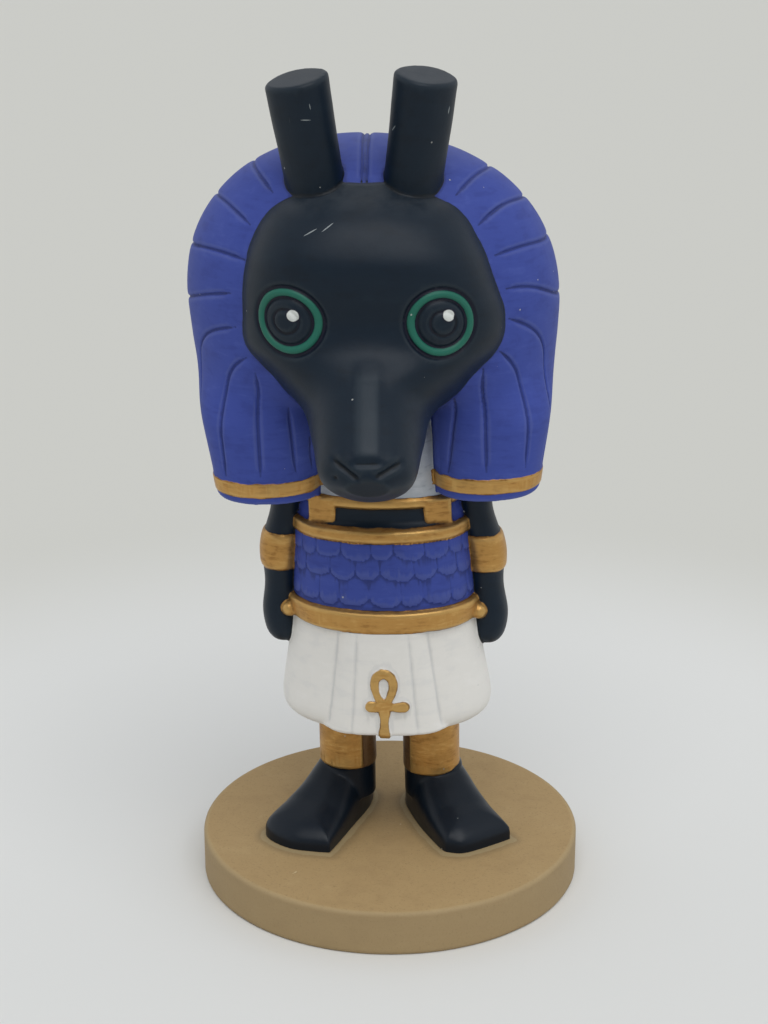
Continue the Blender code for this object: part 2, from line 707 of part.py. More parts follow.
def figure():
    body = kilt()
    cast = caster(body)
    cuts, relief = pleat_cuts(cast), ankh(cast)
    body = combined(body, cuts, "DIFFERENCE")
    body = combined(body, relief, "UNION")
    parts = torso_parts() + [wig(), head(), ear(-1), ear(1)] + leg_parts()
    for sign in (-1, 1):
        parts += [arm(sign), armlet(sign)]
    body = combined(body, parts, "UNION")
    for vert in body.data.vertices:
        vert.co.x -= LEAN * max(vert.co.z / MODEL_HEIGHT, 0.0) ** LEAN_POWER
    body.data.transform(Matrix.Translation((0, 0, BASE_THICKNESS + SEAT_GAP)) @ Matrix.Scale(SCALE, 4))
    body.name = "figure"
    return body


def base():
    profile = (
        (0.0, BASE_THICKNESS),
        (BASE_RADIUS - BASE_EDGE, BASE_THICKNESS),
        (BASE_RADIUS, BASE_THICKNESS - BASE_EDGE),
        (BASE_RADIUS, BASE_EDGE / 2),
        (BASE_RADIUS - BASE_EDGE / 2, 0.0),
        (0.0, 0.0),
    )
    metres = [(radius / MM, height / MM) for radius, height in profile]
    made = turned("base", metres, BASE_SIDES, "sand")
    made.data.transform(Matrix.Scale(MM, 4))
    return made


clear_scene()
workshop = bpy.data.collections.new("workshop")
bpy.context.scene.collection.children.link(workshop)
bpy.context.view_layer.active_layer_collection = bpy.context.view_layer.layer_collection.children["workshop"]
seth_figurine = bpy.data.collections.new("seth_figurine")
bpy.context.scene.collection.children.link(seth_figurine)
for piece in (figure(), base()):
    workshop.objects.unlink(piece)
    seth_figurine.objects.link(piece)
    piece.data.shade_smooth()
    piece.data.set_sharp_from_angle(angle=math.radians(35.0))
bpy.data.collections.remove(workshop)
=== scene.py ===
"""The looks of a hand-painted cast-resin figurine of the Egyptian god Seth on a round base.

The casting is modelled in millimetres above its soles, then leaned and set on the base, in the
same frame as the CAD solids. Its forms are fused into one skin, the carving is pressed into that
skin, and each paint's edge is kept on it as a distance in millimetres, which the paint reads.
"""

import math

import bmesh
import bpy
import numpy as np
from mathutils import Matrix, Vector, noise
from mathutils.bvhtree import BVHTree
from mathutils.kdtree import KDTree


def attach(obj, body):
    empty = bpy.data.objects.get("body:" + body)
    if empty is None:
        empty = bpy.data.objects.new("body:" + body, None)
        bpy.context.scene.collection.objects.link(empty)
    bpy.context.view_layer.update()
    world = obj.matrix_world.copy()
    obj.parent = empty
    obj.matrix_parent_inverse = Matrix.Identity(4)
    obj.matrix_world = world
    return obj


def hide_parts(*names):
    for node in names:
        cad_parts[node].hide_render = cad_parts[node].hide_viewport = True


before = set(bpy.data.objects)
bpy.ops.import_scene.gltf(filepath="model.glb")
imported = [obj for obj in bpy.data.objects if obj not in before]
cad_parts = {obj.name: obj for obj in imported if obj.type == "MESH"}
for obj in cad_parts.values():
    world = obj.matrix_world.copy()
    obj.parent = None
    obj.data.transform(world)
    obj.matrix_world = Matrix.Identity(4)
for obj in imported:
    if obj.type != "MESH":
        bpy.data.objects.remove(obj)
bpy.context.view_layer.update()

MM = 0.001

# The base, and how the figure stands on it
BASE_RADIUS = 23.0
BASE_THICKNESS = 5.4
BASE_EDGE = 0.45
BASE_SIDES = 300
SEAT_GAP = 0.3
MODEL_HEIGHT = 93.0
LEAN = 3.0
LEAN_POWER = 1.3

# How fine the casting's skin is: the fused grid, and the triangles it keeps
VOXEL = 0.2
MOST_TRIANGLES = 190_000
CREASE_SOFTENING = 2
MASTER_UNEVENNESS = 0.06
CAST_REACH = 60.0
TORSO_SIDES, KILT_SIDES, ARM_SIDES, LEG_SIDES = 140, 160, 48, 56
HEAD_SIDES, EAR_SIDES, STRAP_SIDES, KNOB_SIDES = 120, 48, 40, 28
TORSO_SQUARENESS = ARM_SQUARENESS = 2.2
EAR_SQUARENESS = 2.3

# Head: from the crown to the nose tip, each the front and back point of the section in the
# middle plane (y, height), its half width, its squareness and how far it sits to a side
HEAD_STATIONS = (
    (-7.0, 80.5, 3.0, 81.2, 4.8, 2.2, -0.2),
    (-12.0, 77.8, 8.0, 79.0, 10.35, 2.35, -0.2),
    (-14.6, 74.2, 9.0, 75.0, 12.8, 2.75, -0.25),
    (-15.1, 70.6, 9.0, 71.2, 14.0, 2.85, -0.1),
    (-14.9, 66.8, 9.0, 65.3, 14.9, 2.8, 0.25),
    (-15.7, 64.1, 8.0, 59.3, 14.45, 2.4, -0.05),
    (-17.5, 62.3, 1.0, 54.4, 10.4, 2.1, -0.15),
    (-19.4, 60.9, -5.0, 52.0, 7.2, 2.0, -0.5),
    (-22.6, 58.3, -13.0, 50.2, 6.0, 2.1, -0.35),
    (-25.5, 55.4, -20.3, 48.8, 4.95, 1.95, -0.3),
    (-26.1, 53.0, -24.4, 50.6, 2.3, 1.8, -0.2),
)
EYE_X = (-8.75, 7.95)
EYE_HEIGHT = 66.95
EYE_STRETCH = (1.09, 1.05)
IRIS_RADIUS = 2.5
IRIS_RISE = 0.45
PUPIL_RADIUS = 1.36
PUPIL_SHIFT = (-0.1, 0.1)
RING_RADIUS = 3.18
RING_HALF_WIDTH = 0.39
INNER_GROOVE = (2.66, 0.17, 0.26)
OUTER_GROOVE = (3.78, 0.2, 0.34)
CATCHLIGHT_RADIUS = 0.62
CATCHLIGHT_SHIFT = ((0.75, 0.74), (0.68, 0.9))

# Ears
EAR_FEET = (Vector((-5.1, -4.0, 75.0)), Vector((4.3, -4.0, 75.0)))
EAR_TIPS = (Vector((-7.0, -6.8, 92.0)), Vector((7.0, -6.8, 92.4)))
EAR_SLANT = (0.13, 0.03)
EAR_HALF_WIDTH = (3.15, 3.55)
EAR_DEPTH_SHARE = 0.86
EAR_EDGE = 0.5

# Wig
WIG_CENTRE = Vector((0.0, 3.0, 66.0))
WIG_RISE = 18.3
WIG_HALF_WIDTH = 21.4
WIG_SHIFT = -0.15
WIG_FRONT = 14.0
WIG_BACK = 13.0
WIG_SQUARENESS = 2.15
WIG_HEM = 44.2
WIG_HEM_TILT = 0.55
WIG_HEM_HALF_WIDTH = 18.75
WIG_HEM_BACK = 9.5
WIG_HEM_ROUND = 0.8
LAPPET_INNER = 6.6
LAPPET_SIDE_Y = -3.0
LAPPET_FRONT = 5.4
LAPPET_PARTING = (60.0, 52.5)
LAPPET_NOTCH_Y = 0.5
HEM_BAND = (0.9, 2.6)
HEM_BAND_PROUD = 0.12

# Strands: (half width, depth) of an engraved line and of the soft valley about it, and the
# points that each line passes, as measured on the figure; hood lines go on over the back
STRAND_CENTRE = Vector((0.0, 3.0, 64.4))
STRAND_GROOVE = (0.16, 0.28)
STRAND_VALLEY = (0.55, 0.06)
HOOD_STRANDS = (
    ((-10.3, -5.0, 79.1), (-13.1, 2.1, 81.0)),
    ((-12.9, -6.2, 75.8), (-15.4, -1.8, 77.1), (-17.5, 3.0, 77.2)),
    ((-13.7, -7.5, 72.2), (-16.9, -4.6, 72.6), (-19.9, 2.0, 71.6)),
    ((-15.5, -7.0, 68.3), (-18.6, -3.8, 67.4), (-21.2, 2.0, 65.6)),
    ((-0.5, -6.9, 80.9), (-0.4, -3.0, 83.0), (-0.5, -1.2, 83.6)),
    ((0.05, -6.9, 80.9), (0.1, -1.2, 83.6)),
    ((9.8, -5.5, 79.2), (11.8, -1.6, 80.6), (13.6, 2.5, 80.6)),
    ((12.2, -6.6, 76.1), (14.6, -3.4, 77.7), (17.4, 2.5, 77.2)),
    ((13.9, -7.0, 72.8), (16.8, -4.4, 73.3), (19.6, 0.5, 72.9)),
    ((15.1, -7.2, 69.1), (17.9, -4.8, 69.0), (20.6, 0.3, 66.6)),
)
LAPPET_STRANDS = (
    ((-15.1, -7.2, 64.5), (-18.6, -3.8, 63.3), (-19.5, -2.7, 61.8), (-20.2, -0.9, 59.1), (-19.6, -4.0, 53.0),
     (-19.1, -4.2, 47.0)),
    ((-14.0, -7.8, 61.2), (-15.9, -6.5, 60.1), (-16.9, -5.8, 58.4), (-17.2, -6.5, 54.9), (-17.3, -6.9, 46.9)),
    ((-13.2, -8.3, 59.5), (-13.2, -8.0, 47.2)),
    ((-9.7, -7.4, 55.2), (-9.3, -7.3, 47.6)),
    ((-7.5, -5.9, 51.3), (-7.4, -5.8, 47.5)),
    ((15.3, -7.2, 65.7), (17.3, -5.1, 64.6), (18.8, -3.7, 63.2), (19.7, -2.1, 60.5), (19.6, -3.2, 56.7),
     (19.1, -4.3, 48.2)),
    ((14.2, -7.7, 62.1), (15.5, -6.8, 61.1), (16.5, -5.8, 59.1), (16.9, -6.3, 56.1), (16.9, -7.2, 48.3)),
    ((12.3, -8.6, 60.3), (12.4, -8.2, 48.1)),
    ((8.9, -8.0, 56.4), (8.1, -6.6, 47.5)),
)
STRAND_STOP = 3.0
BACK_STRANDS = 9
BACK_STRAND_SPREAD = 168.0

# Torso: (height, half width, front, back)
TORSO_STATIONS = (
    (26.5, 10.3, 7.4, 7.0), (30.0, 10.7, 7.7, 7.3), (34.5, 10.5, 7.5, 7.2), (40.2, 10.1, 7.0, 6.8),
    (41.1, 9.8, 6.1, 6.5), (44.0, 9.0, 5.7, 6.2), (49.0, 7.0, 5.3, 6.0), (56.0, 5.6, 5.0, 6.0),
)
TORSO_LAYERS = (
    ("corselet", 26.5, 40.2, "blue"), ("chest", 40.0, 46.0, "black"), ("collar", 43.2, 56.0, "pearl"),
)
COLLAR_PROUD = 0.2
BELT = (28.0, 30.75, 0.75)
CORSELET_BAND = (38.9, 40.6, 0.45)
COLLAR_BAND = (42.7, 44.0, 0.55)
STRAP_X = (4.7, 8.1)
BARE_CHEST = 7.9
STRAP_PROUD = 0.5
STRAP_DEPTH = 2.4
STRAP_TURN = math.radians(22.0)
KNOB_RADIUS = 0.95
KNOB_CENTRE = (11.2, -2.3, 28.8)

# Corselet: rows of overlapping round-ended scales
SCALE_ROW_FEET = (36.9, 34.5, 31.3)
SCALES_AROUND = 20
SCALE_LENGTH = 3.4
SCALE_RISE = 0.21
SCALE_GAP = (0.04, 0.08)
SCALE_ROUND = 1.45
SCALE_SQUARENESS = 2.4

# Kilt with its apron, pleats and ankh
KILT_PROFILE = (
    (29.0, 10.6), (27.6, 11.0), (24.0, 11.6), (20.0, 12.3), (17.6, 12.6),
    (16.3, 12.35), (15.55, 11.6), (15.3, 10.6),
)
KILT_DEPTH_SHARE = 0.71
APRON_STATIONS = ((27.9, 6.4, 8.15), (21.5, 7.5, 9.0), (15.5, 8.4, 9.4))
APRON_SQUARENESS = 3.4
PLEATS = ((3.0, 3.9), (5.2, 6.7))
PLEAT_GROOVE = (0.14, 0.09)
PLEAT_VALLEY = (0.5, 0.04)
ANKH_TOP = 23.35
ANKH_BAR_HEIGHT = 19.3
ANKH_FOOT = 15.6
ANKH_LOOP_HALF_WIDTH = 1.12
ANKH_BAR = (-1.6, 2.3)
ANKH_RISE = 0.36

# Arms, legs and feet
ARM_STATIONS = (
    (46.5, 10.6, 1.9, 2.6), (43.0, 10.9, 2.1, 2.9), (40.4, 11.1, 2.1, 2.9),
    (36.0, 12.1, 2.3, 3.0), (31.5, 12.15, 2.1, 2.7), (28.0, 12.5, 2.2, 2.9),
    (25.6, 12.3, 2.1, 2.8), (24.4, 12.2, 1.5, 2.1), (23.9, 12.1, 0.7, 1.0),
)
ARM_Y = 0.6
ARMLET = (33.6, 38.1, 0.28)
LEG_X = 5.0
LEG_Y = 2.8
LEG_RADIUS = 3.2
LEG_FOOT = 2.5
LEG_TOP = 17.0
ANKLET_FEET = (6.9, 6.2)
ANKLET_RADIUS = 3.35
ANKLET_PLATE = 0.3
SOLES = (
    ((-2.6, 7.4), (-2.5, 4.0), (-4.2, -1.4), (-5.6, -5.4), (-6.9, -8.9),
     (-7.3, -9.1), (-9.2, -8.9), (-11.8, -8.2),
     (-14.2, -6.3), (-15.0, -4.2), (-13.4, -1.4), (-11.5, 1.1), (-9.6, 4.0), (-7.6, 7.0), (-5.0, 8.5)),
    ((2.5, 7.4), (1.8, 4.4), (3.4, -1.0), (5.0, -4.8), (6.6, -8.0), (7.6, -8.6), (9.3, -8.6), (12.0, -6.9),
     (14.6, -4.9), (14.7, -4.5), (13.2, -2.0), (11.4, 0.9), (9.6, 3.8), (7.6, 7.0), (5.0, 8.5)),
)
HEEL = (4.3, 7.3)
FOOT_TURN = math.radians(25.0)
FOOT_PROFILE = (
    (0.0, 8.4), (4.6, 8.2), (6.6, 6.9), (8.6, 5.5), (11.6, 3.9), (14.4, 3.0), (16.4, 2.6), (18.0, 2.4),
)
FOOT_WALL = 0.3
FOOT_ROUND = 3.1
FOOT_RINGS = (1.0, 0.99, 0.975, 0.95, 0.92, 0.88, 0.84, 0.79, 0.74, 0.66, 0.58, 0.48, 0.38, 0.26, 0.14, 0.03)
PAINT_UNDER_SOLE = 0.45

# The studio: the room's light, and how far the floor reaches, in metres
COOL_WHITE = (0.97, 0.985, 1.0, 1.0)
FLOOR_RADIUS = 3.0

# Hairline scratches through the paint in front: (start, end, width)
SCRATCHES = (
    ((-6.7, -12.8, 76.0), (-5.0, -12.5, 76.9), 0.11), ((-4.7, -12.9, 76.5), (-3.1, -12.1, 77.6), 0.12),
    ((-6.6, -9.4, 87.9), (-5.4, -9.3, 87.9), 0.11), ((-5.5, -9.6, 89.7), (-5.4, -9.5, 89.0), 0.08),
    ((3.1, -7.5, 86.5), (3.6, -8.2, 87.3), 0.09), ((9.2, -7.6, 88.3), (9.4, -7.6, 89.2), 0.09),
)


# ---- building forms -----------------------------------------------------------------------

def smooth_rows(rows, steps, closed=False):
    """The rows with more between them, on smooth curves through the given ones, closed or open."""
    keys = np.array(rows, float)
    if closed:
        keys = np.vstack([keys[-1], keys, keys[:2]])
    else:
        keys = np.vstack([2 * keys[0] - keys[1], keys, 2 * keys[-1] - keys[-2]])
    found = []
    for a, b, c, d in zip(keys, keys[1:], keys[2:], keys[3:]):
        for t in np.arange(steps) / steps:
            bend = (2 * a - 5 * b + 4 * c - d) * t**2 + (3 * b - a - 3 * c + d) * t**3
            found.append(0.5 * (2 * b + (c - a) * t + bend))
    return np.array(found if closed else found + [keys[-2]])


def sole_outline(side):
    return smooth_rows(SOLES[side], 8, closed=True)


def oval(count, squareness):
    """Points round a unit oval from the front: (sideways, forward) each from -1 to 1."""
    turn = np.arange(count) * 2 * math.pi / count
    side, ahead = np.sin(turn), np.cos(turn)
    power = 2 / squareness
    return np.sign(side) * np.abs(side) ** power, np.sign(ahead) * np.abs(ahead) ** power


def lofted(rings):
    """(points, faces) of a closed skin through rings of points."""
    rings = np.array(rings, float)
    rows, around = rings.shape[:2]
    index = np.arange(rows * around).reshape(rows, around)
    low, high = index[:-1], index[1:]
    quads = np.stack([low, np.roll(low, -1, 1), np.roll(high, -1, 1), high], -1).reshape(-1, 4)
    return rings.reshape(-1, 3), quads.tolist() + [index[0][::-1].tolist(), index[-1].tolist()]


def level_ovals(rows, sides, squareness):
    """A skin of level ovals from rows of (height, x, y, half width, front, back)."""
    side, ahead = oval(sides, squareness)
    return lofted([
        np.column_stack([
            x + side * half_width, y - ahead * np.where(ahead > 0, front, back), np.full(sides, height),
        ])
        for height, x, y, half_width, front, back in rows
    ])


def ramp(value, low, high):
    """0 below low, 1 above high, and a smooth step between."""
    share = np.clip((value - low) / (high - low), 0.0, 1.0)
    return share * share * (3 - 2 * share)


def head_form():
    side, ahead = oval(HEAD_SIDES, 2.0)
    rings = []
    for front_y, front_z, back_y, back_z, half_width, squareness, shift in smooth_rows(HEAD_STATIONS, 9):
        power = 2 / squareness
        across = np.sign(side) * np.abs(side) ** power * half_width + shift
        along = np.sign(ahead) * np.abs(ahead) ** power
        middle = np.array([back_y + front_y, back_z + front_z]) / 2
        reach = np.array([front_y, front_z]) - middle
        rings.append(np.column_stack([across, middle[0] + along * reach[0], middle[1] + along * reach[1]]))
    return lofted(rings)


def ear_form(which):
    foot, tip, slant = EAR_FEET[which], EAR_TIPS[which], EAR_SLANT[which] * (1, -1)[which]
    axis = tip - foot
    length = axis.length
    turn = axis.to_track_quat("Z", "Y").to_matrix()
    side, ahead = oval(EAR_SIDES, EAR_SQUARENESS)
    levels = [(share * (length - EAR_EDGE), 0.0) for share in np.linspace(0, 0.97, 24)]
    for a in np.linspace(0, 1.5, 6):
        levels.append((length - EAR_EDGE * (1 - math.sin(a)), EAR_EDGE * (1 - math.cos(a))))
    rings = []
    for along, inset in levels:
        half = EAR_HALF_WIDTH[0] + (EAR_HALF_WIDTH[1] - EAR_HALF_WIDTH[0]) * along / length - inset
        flat = np.column_stack([side * half, -ahead * half * EAR_DEPTH_SHARE, np.full(EAR_SIDES, along)])
        ring = flat @ np.array(turn).T + np.array(foot)
        ring[:, 2] += slant * (ring[:, 0] - tip.x) * along / length
        rings.append(ring)
    return lofted(rings)


def dome_half(half_width, front, back, count):
    """Half a level section of the dome from the front centre to the back centre."""
    power = 2 / WIG_SQUARENESS
    share = np.linspace(0.0, 1.0, count)
    ahead_turn, behind_turn = (share / 0.6).clip(0, 1) ** 1.7, 1 + (share - 0.6) / 0.4
    turn = math.pi / 2 * np.where(share < 0.6, ahead_turn, behind_turn)
    x = half_width * np.clip(np.sin(turn), 0, 1) ** power
    ahead = np.cos(turn)
    y = np.where(ahead > 0, -front, back) * np.abs(ahead) ** power
    return np.column_stack([x, WIG_CENTRE.y + y])


def lappet_half(half_width, back, count):
    """Half a level section below the chin: the notch, one lappet, and half of the back."""
    inner = LAPPET_INNER
    middle, reach = (half_width + inner) / 2, (half_width - inner) / 2
    points = []
    for share in np.linspace(0.0, 1.0, count):
        if share < 0.12:
            points.append(((inner - 0.8) * share / 0.12, LAPPET_NOTCH_Y))
        elif share < 0.26:
            t = (share - 0.12) / 0.14
            points.append((inner - 0.8 + 0.8 * t, LAPPET_NOTCH_Y + (LAPPET_SIDE_Y - LAPPET_NOTCH_Y) * t))
        elif share < 0.6:
            turn = math.pi * (share - 0.26) / 0.34
            ahead = LAPPET_FRONT * math.sin(turn) ** 0.9
            points.append((middle - reach * math.cos(turn), LAPPET_SIDE_Y - ahead))
        else:
            turn = math.pi / 2 * (share - 0.6) / 0.4
            depth = WIG_CENTRE.y + back - LAPPET_SIDE_Y
            points.append((half_width * math.cos(turn) ** 0.8, LAPPET_SIDE_Y + depth * math.sin(turn) ** 0.9))
    return np.array(points)


def wig_levels():
    """(height, half width, front, back, share parted into lappets) from crown to hem."""
    levels = []
    power = 2 / 2.2
    for turn in np.linspace(math.pi / 2 * 0.985, 0.02, 36):
        size = math.cos(turn) ** power
        height = WIG_CENTRE.z + WIG_RISE * math.sin(turn) ** power
        levels.append((height, WIG_HALF_WIDTH * size, WIG_FRONT * size, WIG_BACK * size, 0.0))
    for share in np.linspace(0.0, 1.0, 40):
        height = WIG_CENTRE.z + (WIG_HEM + WIG_HEM_ROUND - WIG_CENTRE.z) * share
        half_width = WIG_HALF_WIDTH + (WIG_HEM_HALF_WIDTH - WIG_HALF_WIDTH) * share**1.3
        back = WIG_BACK + (WIG_HEM_BACK - WIG_BACK) * share
        parted = np.clip((LAPPET_PARTING[0] - height) / (LAPPET_PARTING[0] - LAPPET_PARTING[1]), 0, 1)
        levels.append((height, half_width, WIG_FRONT, back, parted**2 * (3 - 2 * parted)))
    for a in np.linspace(0.3, math.pi / 2, 5):
        height = WIG_HEM + WIG_HEM_ROUND * (1 - math.sin(a))
        inset = WIG_HEM_ROUND * (1 - math.cos(a))
        levels.append((height, WIG_HEM_HALF_WIDTH - inset, WIG_FRONT, WIG_HEM_BACK - inset, 1.0))
    return levels


def hem_at(x):
    """The height of the wig's hem, which isn't quite level."""
    return WIG_HEM + WIG_HEM_TILT * x / WIG_HEM_HALF_WIDTH


def wig_form():
    half_count = 110
    rings = []
    for height, half_width, front, back, parted in wig_levels():
        dome = dome_half(half_width, front, back, half_count)
        hung = lappet_half(half_width, back, half_count)
        half = dome * (1 - parted) + hung * parted
        whole = np.vstack([half, (half * (-1, 1))[-2:0:-1]])
        droop = np.clip((WIG_CENTRE.z - height) / (WIG_CENTRE.z - WIG_HEM), 0, 1)
        level = height + droop * (hem_at(whole[:, 0]) - WIG_HEM)
        rings.append(np.column_stack([whole[:, 0] + WIG_SHIFT, whole[:, 1], level]))
    return lofted(rings)


def torso_at(height):
    """(half width, front, back) of the torso at a height."""
    rows = np.array(TORSO_STATIONS)
    return [np.interp(height, rows[:, 0], rows[:, k]) for k in (1, 2, 3)]


def torso_rows(levels):
    """Rows of the torso from (height, how far proud of it)."""
    return [(height, 0.0, 0.0, *(size + proud for size in torso_at(height))) for height, proud in levels]


def band_form(low, high, proud):
    edge = ((0.0, 0.0), (0.15, 0.75), (0.4, 1.0))
    levels = [(low + inset, proud * share) for inset, share in edge]
    levels += [(high - inset, proud * share) for inset, share in edge[::-1]]
    return level_ovals(torso_rows(levels), TORSO_SIDES, TORSO_SQUARENESS)


def strap_form(sign):
    half_width, front, _ = torso_at(COLLAR_BAND[0])
    middle = sum(STRAP_X) / 2
    bulge = (1 - (middle / half_width) ** TORSO_SQUARENESS) ** (1 / TORSO_SQUARENESS)
    y = -front * bulge - STRAP_PROUD + STRAP_DEPTH / 2
    side, ahead = oval(STRAP_SIDES, 9.0)
    across, deep = side * (STRAP_X[1] - STRAP_X[0]) / 2, -ahead * STRAP_DEPTH / 2
    turn = sign * STRAP_TURN
    x_turned = across * math.cos(turn) - deep * math.sin(turn)
    y_turned = across * math.sin(turn) + deep * math.cos(turn)
    low = CORSELET_BAND[0] + 0.25
    height = COLLAR_BAND[1] - CORSELET_BAND[0] - 0.5
    return lofted([
        np.column_stack([sign * middle + x_turned, y + y_turned, np.full(STRAP_SIDES, level)])
        for level in np.linspace(low, low + height, 8)
    ])


def ball_form(centre, radius):
    rows = []
    for a in np.linspace(-math.pi / 2 * 0.96, math.pi / 2 * 0.96, 18):
        flat = radius * math.cos(a)
        rows.append((centre[2] + radius * math.sin(a), centre[0], centre[1], flat, -flat, -flat))
    return level_ovals(rows, KNOB_SIDES, 2.0)


def kilt_form():
    rows = []
    for height, half in smooth_rows(KILT_PROFILE, 5):
        rows.append((height, 0.0, 0.0, half, half * KILT_DEPTH_SHARE, half * KILT_DEPTH_SHARE))
    return level_ovals(rows, KILT_SIDES, 2.0)


def apron_form():
    rows = [(height, 0.0, 0.0, half, front, 0.0) for height, half, front in smooth_rows(APRON_STATIONS, 8)]
    hem, _, _, half, front, _ = rows[-1]
    rows[-1] = (hem + 0.35, 0.0, 0.0, half, front, 0.0)
    rows.append((hem, 0.0, 0.0, half - 0.3, front - 0.3, 0.0))
    return level_ovals(rows, KILT_SIDES, APRON_SQUARENESS)


def arm_form(sign):
    rows = [(height, sign * x, ARM_Y, w, d, d) for height, x, w, d in smooth_rows(ARM_STATIONS, 5)]
    return level_ovals(rows, ARM_SIDES, ARM_SQUARENESS)


def armlet_form(sign):
    low, high, proud = ARMLET
    heights, *sizes = smooth_rows(ARM_STATIONS, 5)[::-1].T
    full = [(height, 1.0) for height in np.linspace(low + 0.5, high - 0.5, 7)]
    rows = []
    for height, share in ((low, 0.0), (low + 0.2, 0.8), *full, (high - 0.2, 0.8), (high, 0.0)):
        x, half_width, half_depth = (np.interp(height, heights, size) for size in sizes)
        grow = proud * share
        rows.append((height, sign * x, ARM_Y, half_width + grow, half_depth + grow, half_depth + grow))
    return level_ovals(rows, ARM_SIDES, ARM_SQUARENESS)


def leg_form(sign, low, radius):
    heights = (low, low + 0.1, LEG_TOP - 0.4, LEG_TOP)
    rows = [(height, sign * LEG_X, LEG_Y, radius, radius, radius) for height in heights]
    return level_ovals(rows, LEG_SIDES, 2.0)


def apart_from(outline, flat):
    """How far places are from a closed outline."""
    edge = np.roll(outline, -1, axis=0) - outline
    to_start = flat[:, None] - outline[None]
    share = np.clip((to_start * edge).sum(-1) / (edge**2).sum(-1), 0, 1)
    return np.linalg.norm(to_start - share[..., None] * edge, axis=-1).min(axis=1)


def foot_form(side):
    """A foot on its sole's outline, rounded over to a top that slopes from the ankle to the toes."""
    outline = sole_outline(side)
    sign = (-1, 1)[side]
    heel = np.array([sign * HEEL[0], HEEL[1]])
    ahead = np.array([sign * math.sin(FOOT_TURN), -math.cos(FOOT_TURN)])
    middle = outline.mean(axis=0)
    rings = [np.column_stack([outline, np.full(len(outline), -PAINT_UNDER_SOLE)])]
    for share in FOOT_RINGS:
        flat = middle + (outline - middle) * share
        top = np.interp((flat - heel) @ ahead, *np.array(FOOT_PROFILE).T)
        shoulder = np.sqrt(1 - (1 - np.clip(apart_from(outline, flat) / FOOT_ROUND, 0, 1)) ** 2)
        rings.append(np.column_stack([flat, top * (FOOT_WALL + (1 - FOOT_WALL) * shoulder)]))
    return lofted(rings)


def all_forms():
    """Every form of the casting: name -> (paint, points, faces)."""
    forms = {
        "head": ("black", *head_form()), "wig": ("blue", *wig_form()),
        "kilt": ("white", *kilt_form()), "apron": ("white", *apron_form()),
    }
    for name, low, high, paint in TORSO_LAYERS:
        heights = (low, *[row[0] for row in TORSO_STATIONS if low < row[0] < high], high)
        proud = COLLAR_PROUD if paint == "pearl" else 0.0
        rows = torso_rows([(height, proud) for height in heights])
        forms[name] = (paint, *level_ovals(rows, TORSO_SIDES, TORSO_SQUARENESS))
    for name, band in (("belt", BELT), ("corselet band", CORSELET_BAND), ("collar band", COLLAR_BAND)):
        forms[name] = ("gold", *band_form(*band))
    for side, sign in enumerate((-1, 1)):
        x, y, height = KNOB_CENTRE
        for name, paint, form in (
            ("strap", "gold", strap_form(sign)),
            ("knob", "gold", ball_form((sign * x, y, height), KNOB_RADIUS)),
            ("ear", "black", ear_form(side)), ("arm", "black", arm_form(sign)),
            ("armlet", "gold", armlet_form(sign)), ("leg", "black", leg_form(sign, LEG_FOOT, LEG_RADIUS)),
            ("anklet", "gold", leg_form(sign, ANKLET_FEET[side], ANKLET_RADIUS)),
            ("foot", "black", foot_form(side)),
        ):
            forms[("left ", "right ")[side] + name] = (paint, *form)
    return forms


# ---- fusing, carving and thinning the skin ---------------------------------------------------

def plain_mesh(name, points, faces):
    """A mesh with its faces turned outwards."""
    mesh = bpy.data.meshes.new(name)
    mesh.from_pydata(np.asarray(points).tolist(), [], faces)
    shape = bmesh.new()
    shape.from_mesh(mesh)
    bmesh.ops.recalc_face_normals(shape, faces=shape.faces)
    shape.to_mesh(mesh)
    shape.free()
    return mesh


def evaluated_mesh(obj):
    """The object's mesh with its modifiers applied; the object is used up."""
    bpy.context.view_layer.update()
    graph = bpy.context.evaluated_depsgraph_get()
    mesh = bpy.data.meshes.new_from_object(obj.evaluated_get(graph), depsgraph=graph)
    bpy.data.objects.remove(obj, do_unlink=True)
    return mesh


def on_bench(name, data):
    """A new object of the scene, from its mesh, lamp or lens."""
    obj = bpy.data.objects.new(name, data)
    bpy.context.scene.collection.objects.link(obj)
    return obj


def places_of(mesh):
    co = np.empty(len(mesh.vertices) * 3, np.float32)
    mesh.vertices.foreach_get("co", co)
    return co.reshape(-1, 3).astype(float)


def normals_of(mesh):
    found = np.empty(len(mesh.vertices) * 3, np.float32)
    mesh.vertex_normals.foreach_get("vector", found)
    return found.reshape(-1, 3).astype(float)


def set_places(mesh, places):
    mesh.vertices.foreach_set("co", np.asarray(places, np.float32).ravel())
    mesh.update()


def joined(forms):
    """The points and faces of several forms as one."""
    points, faces, start = [], [], 0
    for _, form_points, form_faces in forms:
        points.append(form_points)
        faces += [[start + k for k in face] for face in form_faces]
        start += len(form_points)
    return np.vstack(points), faces


def fused(forms):
    """One closed skin round all of the forms, with its creases softened."""
    obj = on_bench("casting", plain_mesh("casting", *joined(forms.values())))
    remesh = obj.modifiers.new("fuse", "REMESH")
    remesh.mode = "VOXEL"
    remesh.voxel_size = VOXEL
    remesh.adaptivity = 0.0
    soften = obj.modifiers.new("soften", "SMOOTH")
    soften.factor = 0.5
    soften.iterations = CREASE_SOFTENING
    return evaluated_mesh(obj)


def thinned(mesh):
    """The mesh with its triangles brought under the limit, fewest where it is plain."""
    obj = on_bench("casting", mesh)
    triangles = obj.modifiers.new("triangles", "TRIANGULATE")
    triangles.quad_method = "SHORTEST_DIAGONAL"
    count = sum(len(face.vertices) - 2 for face in mesh.polygons)
    thin = obj.modifiers.new("thin", "DECIMATE")
    thin.ratio = min(1.0, MOST_TRIANGLES / count)
    return evaluated_mesh(obj)


